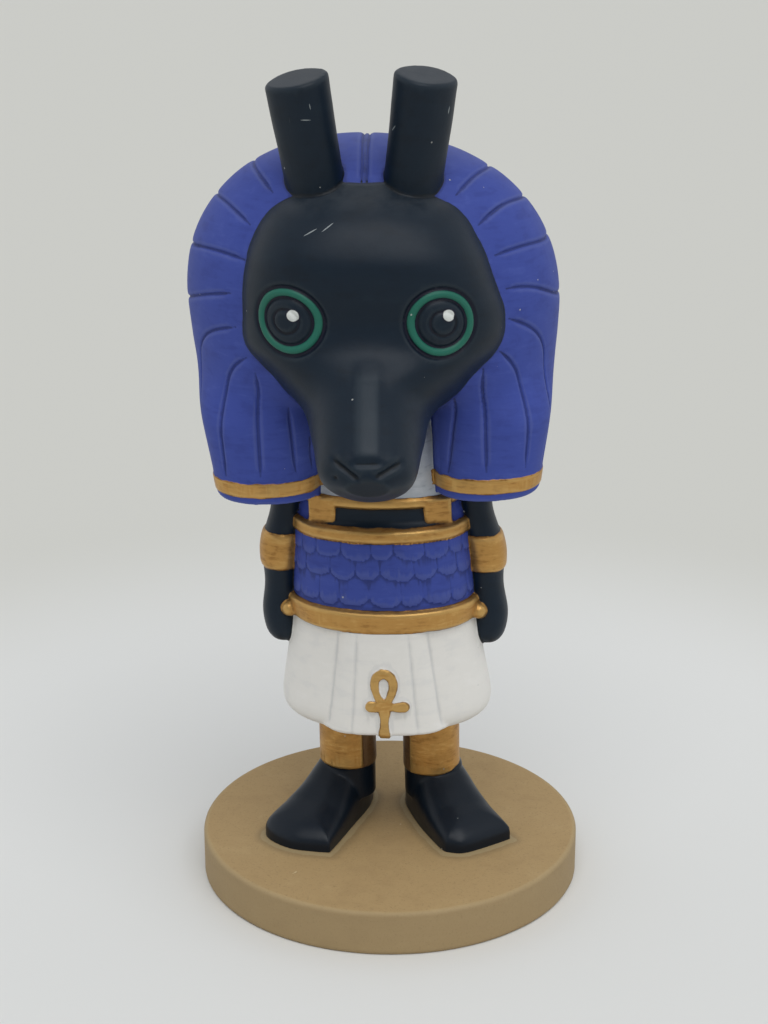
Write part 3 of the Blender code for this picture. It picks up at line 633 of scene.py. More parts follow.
def tree_of(*forms):
    points, faces = joined(forms)
    return BVHTree.FromPolygons(points.tolist(), faces)


def distances(tree, places, reach=3.0):
    """How far each place is from the tree's surface, up to reach."""
    found = np.full(len(places), reach)
    for k, place in enumerate(places):
        hit = tree.find_nearest(place, reach)
        if hit[3] is not None:
            found[k] = hit[3]
    return found


def from_front(tree, x, height):
    """Where a level ray from in front meets the surface."""
    return tree.ray_cast(Vector((x, -CAST_REACH, height)), Vector((0.0, 1.0, 0.0)))[0]


def sampled(path, spacing=0.08):
    """Points at even spacing along a smooth curve through the path, and how far each is from an end."""
    path = smooth_rows([tuple(point) for point in path], 12)
    steps = np.linalg.norm(np.diff(path, axis=0), axis=1)
    run = np.concatenate([[0.0], np.cumsum(steps)])
    at = np.linspace(0.0, run[-1], max(3, int(run[-1] / spacing)))
    points = np.column_stack([np.interp(at, run, path[:, k]) for k in range(3)])
    return points, np.minimum(at, run[-1] - at)


def calmed(points, reach=26, rounds=3):
    """The points of a line with its wavering averaged out; its ends stay where they are."""
    reach = min(reach, len(points) - 2)
    for _ in range(rounds):
        before, after = 2 * points[0] - points[reach:0:-1], 2 * points[-1] - points[-2:-reach - 2:-1]
        padded = np.vstack([before, points, after])
        share = np.full(2 * reach + 1, 1 / (2 * reach + 1))
        points = np.column_stack([np.convolve(padded[:, k], share, "valid") for k in range(3)])
    return points


class Grooves:
    """Engraved lines: the nearest one to a place, its half width there, and the distance to it."""

    def __init__(self, surface, paths, half_width, taper=1.6):
        points, widths = [], []
        for path in paths:
            line, from_end = sampled(path)
            points.append([surface.find_nearest(point)[0] for point in calmed(line)])
            widths.append(half_width * (0.35 + 0.65 * ramp(from_end, 0.0, taper)))
        self.points, self.widths = np.vstack(points), np.concatenate(widths)
        self.tree = KDTree(len(self.points))
        for k, point in enumerate(self.points):
            self.tree.insert(point, k)
        self.tree.balance()

    def near(self, places):
        found = [self.tree.find(place) for place in places]
        index = np.array([hit[1] for hit in found])
        return np.array([hit[2] for hit in found]), self.widths[index]

    def relief(self, places, groove, valley):
        """The cut's depth, sharp in the middle with a soft valley about it."""
        apart, width = self.near(places)
        full = width / groove[0]
        cut = groove[1] * full * np.exp(-((apart / (width * 1.15)) ** 2))
        return -cut - valley[1] * np.exp(-((apart / valley[0]) ** 2))


def strand_paths(wig):
    """Where the engraved lines run over the wig's surface."""
    for route in HOOD_STRANDS:
        away = Vector(route[-1]) - STRAND_CENTRE
        clock = math.atan2(away.x, away.z)
        over = []
        for tilt in np.radians((-13.0, -22.0, -31.0, -40.0)):
            level = math.cos(tilt)
            outward = Vector((math.sin(clock) * level, -math.sin(tilt), math.cos(clock) * level))
            over.append(wig.ray_cast(STRAND_CENTRE, outward)[0])
        yield [wig.find_nearest(Vector(point))[0] for point in route] + over
    for route in LAPPET_STRANDS:
        yield [wig.find_nearest(Vector(point))[0] for point in route]
    for k in range(BACK_STRANDS):
        turn = math.radians(BACK_STRAND_SPREAD * (k / (BACK_STRANDS - 1) - 0.5))
        outward = Vector((math.sin(turn), math.cos(turn), 0.0))
        top = WIG_CENTRE.z + 10.0 - 14.0 * abs(math.sin(turn)) ** 1.6
        levels = np.linspace(top, WIG_HEM + STRAND_STOP, 12)
        yield [wig.ray_cast(Vector((0.0, WIG_CENTRE.y, height)), outward)[0] for height in levels]


def pleat_paths(kilt):
    low, high = APRON_STATIONS[-1][0] + 0.1, BELT[0] - 0.2
    for sign in (-1, 1):
        for top_x, hem_x in PLEATS:
            yield [
                from_front(kilt, sign * (top_x + (hem_x - top_x) * share), high + (low - high) * share)
                for share in np.linspace(0.0, 1.0, 9)
            ]


def eye_frames(head):
    """Each eye's centre on the head's surface, its directions (sideways, up, outward) and its stretch."""
    frames = []
    for x, stretch in zip(EYE_X, EYE_STRETCH):
        centre, outward = head.ray_cast(Vector((x, -CAST_REACH, EYE_HEIGHT)), Vector((0.0, 1.0, 0.0)))[:2]
        sideways = outward.cross(Vector((0.0, 0.0, -1.0))).normalized()
        upward = outward.cross(sideways).normalized()
        axes = [way if way[k] > 0 else -way for way, k in ((sideways, 0), (upward, 2))]
        frames.append((np.array(centre), np.column_stack([*axes, outward]), (stretch, 1.0, 1.0)))
    return frames


def in_eye(eye, places):
    """Places as (sideways, up, outward) in an eye's own directions, and which are near the eye."""
    centre, axes, stretch = eye
    local = (places - centre) @ axes / stretch
    return local, (np.abs(local[:, 2]) < 3.0) & (np.hypot(local[:, 0], local[:, 1]) < 6.0)


def bell(apart, width):
    return np.exp(-((apart / width) ** 2))


def eye_relief(eye, side, places):
    local, near = in_eye(eye, places)
    radius = np.hypot(local[:, 0], local[:, 1])
    pupil = np.hypot(local[:, 0] - PUPIL_SHIFT[side], local[:, 1])
    relief = IRIS_RISE * np.clip(1 - (radius / IRIS_RADIUS) ** 2, 0, 1)
    relief -= 0.24 * bell(pupil - PUPIL_RADIUS, 0.17) * (radius < IRIS_RADIUS)
    relief += 0.14 * ramp(RING_HALF_WIDTH + 0.1 - np.abs(radius - RING_RADIUS), 0.0, 0.25)
    for groove_radius, half_width, depth in (INNER_GROOVE, OUTER_GROOVE):
        relief -= depth * bell(radius - groove_radius, half_width * 1.2)
    spot = np.hypot(local[:, 0] - CATCHLIGHT_SHIFT[side][0], local[:, 1] - CATCHLIGHT_SHIFT[side][1])
    relief += 0.1 * ramp(CATCHLIGHT_RADIUS + 0.05 - spot, 0.0, 0.15)
    return np.where(near, relief, 0.0)


def face_relief(places):
    """The nose's bridge, the hollow under its end, and the nostrils."""
    x, y, height = places.T
    bridge = ramp(2.0 - np.abs(x), 0.0, 1.5) * ramp(64.2 - height, 0.0, 2.2) * ramp(height - 55.0, 0.0, 1.0)
    relief = 0.16 * bridge - 0.05 * bell(x, 1.4) * bell(height - 61.6, 0.2)
    relief -= 0.3 * bell(x, 2.1) * bell(height - 54.75 + 0.05 * x * x, 0.42)
    for sign, (outer, inner) in ((-1, ((-3.9, 54.9), (-1.05, 53.0))), (1, ((3.55, 54.6), (0.75, 53.3)))):
        run = np.array(inner) - np.array(outer)
        length = np.hypot(*run)
        along = ((x - outer[0]) * run[0] + (height - outer[1]) * run[1]) / length
        off = ((x - outer[0]) * run[1] - (height - outer[1]) * run[0]) / length * sign
        body = ramp(along, -0.4, 0.8) * ramp(length + 0.5 - along, 0.0, 1.2)
        relief -= 0.4 * body * bell(off, 0.34)
        relief += 0.1 * body * bell(off - 0.8, 0.5)
    relief -= 0.25 * bell(np.hypot(x + 3.6, height - 52.9), 0.24)
    return np.where((y < -10.0) & (np.abs(x) < 6.0), relief, 0.0)


def scale_relief(places):
    """Rows of overlapping scales: each is thickest at its round foot, and laps over the row below."""
    x, y, height = places.T
    half_width, front, back = torso_at(height)
    turn = np.arctan2(x / half_width, -y / np.where(y < 0, front, back))
    around = turn / (2 * math.pi) * SCALES_AROUND
    relief = np.zeros(len(places))
    free = np.ones(len(places), bool)
    for row, foot in enumerate(SCALE_ROW_FEET):
        uneven = 0.07 * np.sin(turn * 7.0 + row * 2.1) + 0.05 * np.sin(turn * 13.0 + row)
        apart = np.abs((around + uneven - 0.5 * (row % 2) + 0.42) % 1.0 - 0.5) / 0.5
        rounded = 1 - (1 - np.clip(apart, 0, 1) ** SCALE_SQUARENESS) ** (1 / SCALE_SQUARENESS)
        edge = foot + 0.15 * np.sin(turn * 9.0 + row * 1.7) + SCALE_ROUND * rounded
        mine = free & (height >= edge)
        rise = SCALE_RISE * np.clip(1 - (height - foot) / SCALE_LENGTH, 0, 1)
        gap = SCALE_GAP[1] * bell(1 - apart, SCALE_GAP[0] * 2)
        relief[mine] = (rise - gap)[mine]
        free &= ~mine
    return relief * ramp(height, BELT[1] - 0.4, BELT[1]) * ramp(CORSELET_BAND[0] + 0.3 - height, 0.0, 0.3)


def ankh_lines():
    """The ankh as points on its middle lines, (x, height), and the half width at each."""
    lines = []
    for turn in np.linspace(0.0, 2 * math.pi, 90):
        x = 1.25 * ANKH_LOOP_HALF_WIDTH * math.sin(turn) * abs(math.sin(turn / 2))
        rise = (ANKH_TOP - ANKH_BAR_HEIGHT) * (1 - math.cos(turn)) / 2
        lines.append((x, ANKH_BAR_HEIGHT + rise, 0.5 + 0.12 * ramp(rise, 3.2, 4.0)))
    for x in np.linspace(*ANKH_BAR, 40):
        lines.append((x, ANKH_BAR_HEIGHT, 0.5 + 0.18 * ramp(abs(x - 0.35), 0.4, 1.6)))
    for height in np.linspace(ANKH_BAR_HEIGHT, ANKH_FOOT, 40):
        lines.append((0.0, height, 0.56 + 0.14 * ramp(abs(height - 17.3), 0.3, 1.5)))
    lines.append((-0.2, ANKH_TOP + 0.3, 0.42))
    return np.array(lines)


def on_ankh_panel(places):
    """Which places are on the apron's panel round the ankh."""
    return (np.abs(places[:, 0]) < 4) & (places[:, 2] < 25) & (places[:, 1] < -7)


def ankh_margin(places):
    """How far inside the ankh's outline a place on the apron is, in millimetres."""
    lines = ankh_lines()
    apart = np.hypot(places[:, None, 0] - lines[None, :, 0], places[:, None, 2] - lines[None, :, 1])
    return (lines[None, :, 2] - apart).max(axis=1)


def hem_band_margin(places):
    """How far inside the wig's painted hem band a place is."""
    above = places[:, 2] - hem_at(places[:, 0])
    return np.minimum(above - HEM_BAND[0], HEM_BAND[1] - above)


def anklet_recess(side, places):
    """How far a place is into the darker inner side of an anklet, behind the front plate's edge."""
    sign = (-1, 1)[side]
    turn = np.arctan2(-sign * (places[:, 0] - sign * LEG_X), -(places[:, 1] - LEG_Y))
    return (turn - math.radians((33.0, 46.0)[side])) * ANKLET_RADIUS * (turn < math.radians(140.0))


def hand_unevenness(places, size, seed):
    """Soft unevenness of the hand-made master, -1 to 1."""
    shift = Vector((seed, seed * 0.7, -seed))
    return np.array([noise.noise(Vector(place) / size + shift) for place in places])


def nearby(places, low, high, *forms, within=0.3):
    """The indexes of places inside a box, and within so much of the forms' surface where some are given."""
    index = np.flatnonzero(((places > low) & (places < high)).all(axis=1))
    if forms:
        index = index[distances(tree_of(*forms), places[index], 0.6) < within]
    return index


def carve(mesh, forms):
    """Presses all of the carving into the fused skin."""
    places, normals = places_of(mesh), normals_of(mesh)
    relief = np.zeros(len(places))

    on_wig = nearby(places, (-25, -20, 42), (25, 20, 90), forms["wig"])
    relief[on_wig] += strands.relief(places[on_wig], STRAND_GROOVE, STRAND_VALLEY)
    relief[on_wig] += HEM_BAND_PROUD * ramp(hem_band_margin(places[on_wig]), -0.1, 0.15)

    on_head = nearby(places, (-18, -30, 46), (18, -6, 80), forms["head"])
    relief[on_head] += face_relief(places[on_head])
    for side, eye in enumerate(eyes):
        relief[on_head] += eye_relief(eye, side, places[on_head])

    on_torso = nearby(places, (-12, -10, 29), (12, 10, 40), forms["corselet"], within=0.12)
    relief[on_torso] += scale_relief(places[on_torso])

    on_kilt = nearby(places, (-13, -12, 15), (13, 0, 28), forms["kilt"], forms["apron"])
    relief[on_kilt] += pleats.relief(places[on_kilt], PLEAT_GROOVE, PLEAT_VALLEY)
    on_ankh = on_kilt[on_ankh_panel(places[on_kilt])]
    relief[on_ankh] += ANKH_RISE * ramp(ankh_margin(places[on_ankh]), -0.12, 0.16)

    for side, sign in enumerate((-1, 1)):
        foot, middle = ANKLET_FEET[side], sign * LEG_X
        on_anklet = nearby(places, (middle - 5, -3, foot - 0.5), (middle + 5, 8, LEG_TOP))
        plate = ramp(-anklet_recess(side, places[on_anklet]), 0.0, 0.25)
        relief[on_anklet] += ANKLET_PLATE * plate * ramp(places[on_anklet, 2], foot - 0.1, foot + 0.2)

    relief += MASTER_UNEVENNESS * hand_unevenness(places, 5.0, 3.0)
    set_places(mesh, places + normals * relief[:, None])


def store(mesh, name, values):
    mesh.attributes.new(name, "FLOAT", "POINT").data.foreach_set("value", np.asarray(values, np.float32))


def relief_of(mesh, places, normals, rounds=4):
    """How far each place stands out from its surroundings: ridges above zero, creases below."""
    edges = np.empty(len(mesh.edges) * 2, np.int32)
    mesh.edges.foreach_get("vertices", edges)
    a, b = edges.reshape(-1, 2).T
    much = len(places)
    count = np.bincount(a, minlength=much) + np.bincount(b, minlength=much)
    smooth = places
    for _ in range(rounds):
        total = [np.bincount(a, way[b], much) + np.bincount(b, way[a], much) for way in smooth.T]
        smooth = np.column_stack(total) / count[:, None]
    return ((places - smooth) * normals).sum(axis=1)


def mark_paints(mesh, forms):
    """Keeps on the skin how far inside each paint's edge every point is, in millimetres."""
    places = places_of(mesh)
    x, y, height = places.T
    paints = ("black", "blue", "white", "pearl", "gold")
    apart = np.array([
        distances(tree_of(*[form for form in forms.values() if form[0] == paint]), places) for paint in paints
    ])
    marks = {paint: np.delete(apart, k, axis=0).min(axis=0) - apart[k] for k, paint in enumerate(paints)}
    del marks["black"]
    at_chest = distances(tree_of(forms["chest"]), places, 0.5) < 0.15
    beside_strap = np.minimum(np.abs(x) - BARE_CHEST, 0.1 - marks["gold"])
    marks["blue"] = np.where(at_chest, np.maximum(marks["blue"], beside_strap), marks["blue"])
    on_wig = (marks["blue"] > -0.5) & (height > 42) & ~at_chest
    marks["gold"] = np.where(on_wig, np.maximum(marks["gold"], hem_band_margin(places)), marks["gold"])
    on_ankh = (marks["white"] > 0) & on_ankh_panel(places)
    marks["gold"][on_ankh] = np.maximum(marks["gold"][on_ankh], ankh_margin(places[on_ankh]))

    for name in ("green", "catchlight", "engraved", "pleat", "anklet_inner_side"):
        marks[name] = np.full(len(places), -1.0)
    for side, eye in enumerate(eyes):
        local, here = in_eye(eye, places)
        radius = np.hypot(local[:, 0], local[:, 1])
        spot_x, spot_up = CATCHLIGHT_SHIFT[side]
        spot = CATCHLIGHT_RADIUS - np.hypot(local[:, 0] - spot_x, local[:, 1] - spot_up)
        pupil = np.hypot(local[:, 0] - PUPIL_SHIFT[side], local[:, 1])
        lines = [0.07 - np.abs(pupil - PUPIL_RADIUS), 0.09 - np.abs(spot + 0.09)]
        for groove_radius, half_width, _ in (INNER_GROOVE, OUTER_GROOVE):
            lines.append(half_width - np.abs(radius - groove_radius))
        ring = RING_HALF_WIDTH - np.abs(radius - RING_RADIUS)
        for name, values in (("green", ring), ("catchlight", spot), ("engraved", np.maximum.reduce(lines))):
            marks[name][here] = np.maximum(marks[name], values)[here]
    on_blue = np.flatnonzero((marks["blue"] > -0.2) & (height > 42))
    away, width = strands.near(places[on_blue])
    marks["engraved"][on_blue] = np.maximum(marks["engraved"][on_blue], width + 0.04 - away)
    on_white = np.flatnonzero((marks["white"] > -0.2) & (y < 0))
    away, width = pleats.near(places[on_white])
    marks["pleat"][on_white] = width - away
    # How far each point is into an anklet's darker inner side, behind its front plate.
    for side, sign in enumerate((-1, 1)):
        here = (np.sign(x) == sign) & (height < LEG_TOP) & (marks["gold"] > -0.3)
        marks["anklet_inner_side"][here] = anklet_recess(side, places[here])
    # Where the nose bridge gets a painted highlight.
    marks["bridge"] = ramp(1.45 - np.abs(x + 0.15), 0.0, 0.5) * ramp(62.9 - height, 0.0, 1.4)
    marks["bridge"] *= ramp(height - 55.2, 0.0, 0.7) * (y < -15.0)
    for name, values in marks.items():
        store(mesh, name, np.clip(values, -1, 1))
    store(mesh, "height", height)


def stood(places):
    """Places on the figure, leaned as the real one leans and lifted onto the base."""
    shift = LEAN * np.maximum(places[:, 2] / MODEL_HEIGHT, 0.0) ** LEAN_POWER
    return places + np.column_stack([-shift, 0 * shift, 0 * shift + BASE_THICKNESS + SEAT_GAP])


# ---- nodes -----------------------------------------------------------------------------------

def feed(tree, socket, value):
    """Gives an input a value, or links it to another node's output."""
    if isinstance(value, bpy.types.NodeSocket):
        tree.links.new(value, socket)
    else:
        socket.default_value = value


def put(tree, kind, inputs=(), **settings):
    """A node with its settings and inputs."""
    node = tree.nodes.new("ShaderNode" + kind)
    for name, value in settings.items():
        setattr(node, name, value)
    for name, value in dict(inputs).items():
        feed(tree, node.inputs[name], value)
    return node


def maths(tree, operation, *values, clamp=False):
    return put(tree, "Math", enumerate(values), operation=operation, use_clamp=clamp).outputs[0]


def times(tree, *values):
    return maths(tree, "MULTIPLY", *values)


def vectors(tree, operation, *values):
    return put(tree, "VectorMath", enumerate(values), operation=operation).outputs


def kept(tree, name):
    """What the skin keeps under this name."""
    return put(tree, "Attribute", attribute_name=name).outputs["Fac"]


def step(tree, value, low, high, start=0.0, end=1.0):
    inputs = {"Value": value, "From Min": low, "From Max": high, "To Min": start, "To Max": end}
    return put(tree, "MapRange", inputs, interpolation_type="SMOOTHSTEP").outputs["Result"]


def mixed(tree, kind, suffix, below, above, mask):
    node = put(tree, "Mix", data_type=kind)
    sockets = {socket.identifier: socket for socket in node.inputs}
    for name, value in (("Factor_Float", mask), ("A_" + suffix, below), ("B_" + suffix, above)):
        feed(tree, sockets[name], value)
    return next(socket for socket in node.outputs if socket.identifier == "Result_" + suffix)


def laid_over(tree, below, above, mask, share=1.0):
    """One colour laid over another where the mask is, as thick as share."""
    return mixed(tree, "RGBA", "Color", below, above, mask if share == 1.0 else times(tree, mask, share))


def blended(tree, below, above, mask):
    """One value turned into another where the mask is."""
    return mixed(tree, "FLOAT", "Float", below, above, mask)


def shade(*srgb):
    """A colour from its 0-255 values, as light."""
    return tuple(((v / 255 + 0.055) / 1.055) ** 2.4 if v > 10 else v / 255 / 12.92 for v in srgb) + (1.0,)


def place_in_mm(tree, stretch=(1.0, 1.0, 1.0)):
    """Where a point is on the object, in millimetres, stretched."""
    place = put(tree, "TexCoord").outputs["Object"]
    return vectors(tree, "MULTIPLY", place, [1 / MM * k for k in stretch])[0]


def cloud(tree, vector, scale, detail=2.0, roughness=0.5, distortion=0.0):
    """Soft noise, 0 to 1, at so many to the millimetre."""
    return put(tree, "TexNoise", {
        "Vector": vector, "Scale": scale, "Detail": detail, "Roughness": roughness, "Distortion": distortion,
    }).outputs["Fac"]


def new_group(name, inputs, **outputs):
    """A group of nodes, from its inputs' first values and the kinds of its outputs."""
    group = bpy.data.node_groups.new(name, "ShaderNodeTree")
    for label, value in inputs.items():
        kind = {1: "Float", 3: "Vector", 4: "Color"}[np.size(value)]
        socket = group.interface.new_socket(label, in_out="INPUT", socket_type="NodeSocket" + kind)
        socket.default_value = value
    for label, kind in outputs.items():
        group.interface.new_socket(label, in_out="OUTPUT", socket_type="NodeSocket" + kind)
    return group, group.nodes.new("NodeGroupInput").outputs, group.nodes.new("NodeGroupOutput").inputs


def hand_painted_edge():
    """How much of a paint is on a point, from its distance inside an edge that wavers as a brush does."""
    inputs = {"Margin": 0.0, "Waver": 0.15, "Waves per mm": 0.6, "Softness": 0.04}
    group, given, made = new_group("hand painted edge", inputs, Mask="Float")
    waves = cloud(group, place_in_mm(group), given["Waves per mm"], 3.0)
    waver = times(group, maths(group, "SUBTRACT", waves, 0.5), given["Waver"])
    margin = maths(group, "ADD", given["Margin"], times(group, waver, 2.0))
    share = maths(group, "DIVIDE", margin, given["Softness"])
    feed(group, made["Mask"], maths(group, "ADD", times(group, share, 0.5), 0.5, clamp=True))
    return group


def brush_strokes():
    """A paint that thins and gathers in strokes round the figure."""
    white, dark = (1, 1, 1, 1), (0, 0, 0, 1)
    inputs = {"Paint": white, "Gathered": dark, "Thinned": white, "Strokes per mm": 3.0, "Amount": 0.5}
    group, given, made = new_group("brush strokes", inputs, Color="Color", Height="Float")
    strokes = cloud(group, place_in_mm(group, (0.22, 0.22, 1.0)), given["Strokes per mm"], 3.0, 0.6, 0.4)
    patches = cloud(group, place_in_mm(group), 0.45, 3.0, 0.6)
    uneven = maths(group, "ADD", times(group, strokes, 0.55), times(group, patches, 0.45))
    thick = times(group, step(group, uneven, 0.5, 0.36), given["Amount"])
    thin = times(group, step(group, uneven, 0.52, 0.68), given["Amount"])
    colour = laid_over(group, given["Paint"], given["Gathered"], thick)
    feed(group, made["Color"], laid_over(group, colour, given["Thinned"], thin))
    feed(group, made["Height"], strokes)
    return group


def dust_specks():
    """Small pale specks of dust and tiny chips, here and there."""
    inputs = {"Specks per mm": 0.35, "Size": 0.12, "Share": 0.3}
    group, given, made = new_group("dust specks", inputs, Mask="Float")
    cells = put(group, "TexVoronoi", {"Vector": place_in_mm(group), "Scale": given["Specks per mm"]}).outputs
    chosen = put(group, "SeparateColor", {"Color": cells["Color"]}).outputs["Red"]
    dot = maths(group, "LESS_THAN", cells["Distance"], times(group, given["Size"], chosen))
    feed(group, made["Mask"], times(group, maths(group, "LESS_THAN", chosen, given["Share"]), dot))
    return group


def hairline_scratch():
    """A short straight scratch that shows pale resin, tapering to its ends."""
    inputs = {"Start": (0, 0, 0), "Direction": (1, 0, 0), "Length": 1.0, "Width": 0.1}
    group, given, made = new_group("hairline scratch", inputs, Mask="Float")
    away = vectors(group, "SUBTRACT", place_in_mm(group), given["Start"])[0]
    away = vectors(group, "MULTIPLY", away, (1.0, 0.05, 1.0))[0]
    along = vectors(group, "DOT_PRODUCT", away, given["Direction"])["Value"]
    reach = vectors(group, "LENGTH", away)["Value"]
    square = maths(group, "SUBTRACT", times(group, reach, reach), times(group, along, along))
    off = maths(group, "SQRT", maths(group, "MAXIMUM", square, 0.0))
    share = maths(group, "DIVIDE", along, given["Length"])
    taper = times(group, times(group, share, maths(group, "SUBTRACT", 1.0, share)), 4.0)
    half = times(group, maths(group, "MAXIMUM", taper, 0.0), times(group, given["Width"], 0.5))
    feed(group, made["Mask"], maths(group, "LESS_THAN", off, half))
    return group


def resin_grain():
    """The fine unevenness of brushed matt paint."""
    group, given, made = new_group("resin grain", {"Grains per mm": 6.0}, Height="Float")
    where = place_in_mm(group)
    fine = cloud(group, where, given["Grains per mm"])
    feed(group, made["Height"], maths(group, "ADD", times(group, fine, 0.5), cloud(group, where, 1.3)))
    return group


def use(tree, group, **inputs):
    """The outputs of a group placed with its own values."""
    named = {name.replace("_", " "): value for name, value in inputs.items()}
    return put(tree, "Group", named, node_tree=group).outputs


def brushed(tree, strokes, paint, gathered, thinned, per_mm, amount):
    """A paint's brush strokes, in three tones."""
    return use(tree, strokes, Paint=shade(*paint), Gathered=shade(*gathered), Thinned=shade(*thinned),
               Strokes_per_mm=per_mm, Amount=amount)


def new_material(name):
    material = bpy.data.materials.new(name)
    material.use_nodes = True
    return material, material.node_tree, material.node_tree.nodes["Principled BSDF"]


def bumped(tree, shader, height):
    bump = put(tree, "Bump", {"Height": height, "Distance": MM, "Strength": 1.0})
    feed(tree, shader.inputs["Normal"], bump.outputs["Normal"])


def painted_casting(edge, strokes, specks, grain, scratch):
    """All of the figure's paints, laid one over another on one casting, with painted shade and painted
    highlights.
    """
    material, tree, shader = new_material("painted casting")
    relief = kept(tree, "relief")
    # How far the skin stands out gives painted shade in its creases and painted highlights on its ridges.
    painted_crease_shade, painted_ridge_highlight = step(tree, relief, -0.012, -0.05), step(tree, relief, 0.012, 0.05)
    mottle = cloud(tree, place_in_mm(tree), 0.5, 4.0, 0.6)

    colour = brushed(tree, strokes, (9, 27, 42), (7, 22, 35), (15, 33, 47), 0.8, 0.6)["Color"]
    # Painted shade in the black's creases and a painted highlight on its ridges.
    colour = laid_over(tree, colour, shade(6, 11, 16), painted_crease_shade, 0.7)
    colour = laid_over(tree, colour, shade(40, 50, 58), painted_ridge_highlight, 0.4)
    # A painted highlight on the nose bridge.
    colour = laid_over(tree, colour, shade(62, 72, 80), kept(tree, "bridge"), 0.3)
    on_feet = step(tree, kept(tree, "height"), 8.5, 6.5)
    colour = laid_over(tree, colour, shade(14, 24, 35), on_feet)
    rough = blended(tree, 0.44, 0.34, on_feet)

    coat = brushed(tree, strokes, (58, 75, 156), (52, 67, 144), (67, 84, 164), 1.4, 0.75)["Color"]
    # A painted highlight on the blue's ridges and painted shade in its creases.
    coat = laid_over(tree, coat, shade(84, 97, 162), painted_ridge_highlight, 0.45)
    coat = laid_over(tree, coat, shade(24, 30, 72), painted_crease_shade, 0.42)
    blue = use(tree, edge, Margin=kept(tree, "blue"), Waver=0.1)["Mask"]
    colour = laid_over(tree, colour, coat, blue)
    rough = blended(tree, rough, 0.58, blue)

    coat = brushed(tree, strokes, (231, 229, 224), (222, 221, 218), (236, 234, 230), 0.7, 0.6)["Color"]
    # Painted shade in the white's creases.
    coat = laid_over(tree, coat, shade(164, 166, 170), painted_crease_shade, 0.18)
    white = use(tree, edge, Margin=kept(tree, "white"), Waver=0.08)["Mask"]
    colour = laid_over(tree, colour, coat, white)
    rough = blended(tree, rough, 0.48, white)

    coat = brushed(tree, strokes, (178, 184, 191), (140, 148, 160), (196, 200, 206), 1.5, 0.8)["Color"]
    pearl = use(tree, edge, Margin=kept(tree, "pearl"), Waver=0.08)["Mask"]
    colour = laid_over(tree, colour, coat, pearl)
    rough = blended(tree, rough, 0.42, pearl)

    line = use(tree, edge, Margin=kept(tree, "engraved"), Waver=0.07, Waves_per_mm=0.8, Softness=0.07)["Mask"]
    colour = laid_over(tree, colour, shade(17, 21, 40), line)
    faint = use(tree, edge, Margin=kept(tree, "pleat"), Waver=0.2, Waves_per_mm=0.8, Softness=0.2)["Mask"]
    colour = laid_over(tree, colour, shade(180, 182, 185), faint, 0.4)

    margin = kept(tree, "gold")
    gold = use(tree, edge, Margin=margin, Waver=0.26, Waves_per_mm=0.55)["Mask"]
    gilt = brushed(tree, strokes, (192, 146, 82), (150, 106, 56), (214, 174, 108), 2.2, 0.7)
    # Painted shade in the gold's creases and a painted highlight on its ridges.
    coat = laid_over(tree, gilt["Color"], shade(86, 57, 30), painted_crease_shade, 0.6)
    coat = laid_over(tree, coat, shade(214, 178, 112), painted_ridge_highlight, 0.5)
    # Darker, less metallic gold on each anklet's inner side, behind its front plate.
    recess = step(tree, kept(tree, "anklet_inner_side"), -0.05, 0.1)
    coat = laid_over(tree, coat, shade(74, 56, 46), recess, 0.8)
    worn_rim = times(tree, step(tree, margin, 0.2, 0.03), step(tree, mottle, 0.45, 0.62, 0.0, 0.7))
    coat = laid_over(tree, coat, shade(92, 62, 32), worn_rim)
    colour = laid_over(tree, colour, coat, gold)
    rough = blended(tree, rough, 0.4, gold)

    green = use(tree, edge, Margin=kept(tree, "green"), Waver=0.05, Waves_per_mm=0.5)["Mask"]
    colour = laid_over(tree, colour, shade(33, 103, 87), green)
    spot = use(tree, edge, Margin=kept(tree, "catchlight"), Waver=0.03)["Mask"]
    colour = laid_over(tree, colour, shade(214, 218, 216), spot)

    dust = use(tree, specks, Specks_per_mm=0.5, Size=0.18, Share=0.4)["Mask"]
    colour = laid_over(tree, colour, shade(190, 192, 188), dust, 0.6)
    for start, end, width in SCRATCHES:
        start, end = stood(np.array([start, end]))
        run = Vector(end - start) * Vector((1.0, 0.0, 1.0))
        mark = use(tree, scratch, Start=start.tolist(), Direction=run.normalized(),
                   Length=run.length, Width=width)
        colour = laid_over(tree, colour, shade(176, 184, 186), mark["Mask"], 0.6)
    # Painted light on the upward-facing tops, the feet left out: a patchy paler grey laid over them.
    upward = put(tree, "SeparateXYZ", {0: put(tree, "TexCoord").outputs["Normal"]}).outputs["Z"]
    painted_top_light = times(tree, step(tree, upward, 0.75, 1.0), step(tree, mottle, 0.2, 0.7, 0.04, 0.12))
    painted_top_light = times(tree, painted_top_light, maths(tree, "SUBTRACT", 1.0, on_feet))
    colour = laid_over(tree, colour, shade(150, 153, 154), painted_top_light)
    feed(tree, shader.inputs["Base Color"], colour)

    rough = blended(tree, maths(tree, "SUBTRACT", rough, 0.06), maths(tree, "ADD", rough, 0.08), mottle)
    feed(tree, shader.inputs["Roughness"], rough)
    shader.inputs["Specular IOR Level"].default_value = 0.27
    feed(tree, shader.inputs["Metallic"], times(tree, gold, blended(tree, 0.72, 0.2, recess)))
    height = times(tree, use(tree, grain, Grains_per_mm=5.0)["Height"], 0.012)
    for more, share in ((gold, 0.03), (times(tree, gilt["Height"], gold), 0.05), (blue, 0.02)):
        height = maths(tree, "ADD", height, times(tree, more, share))
    bumped(tree, shader, height)
    return material


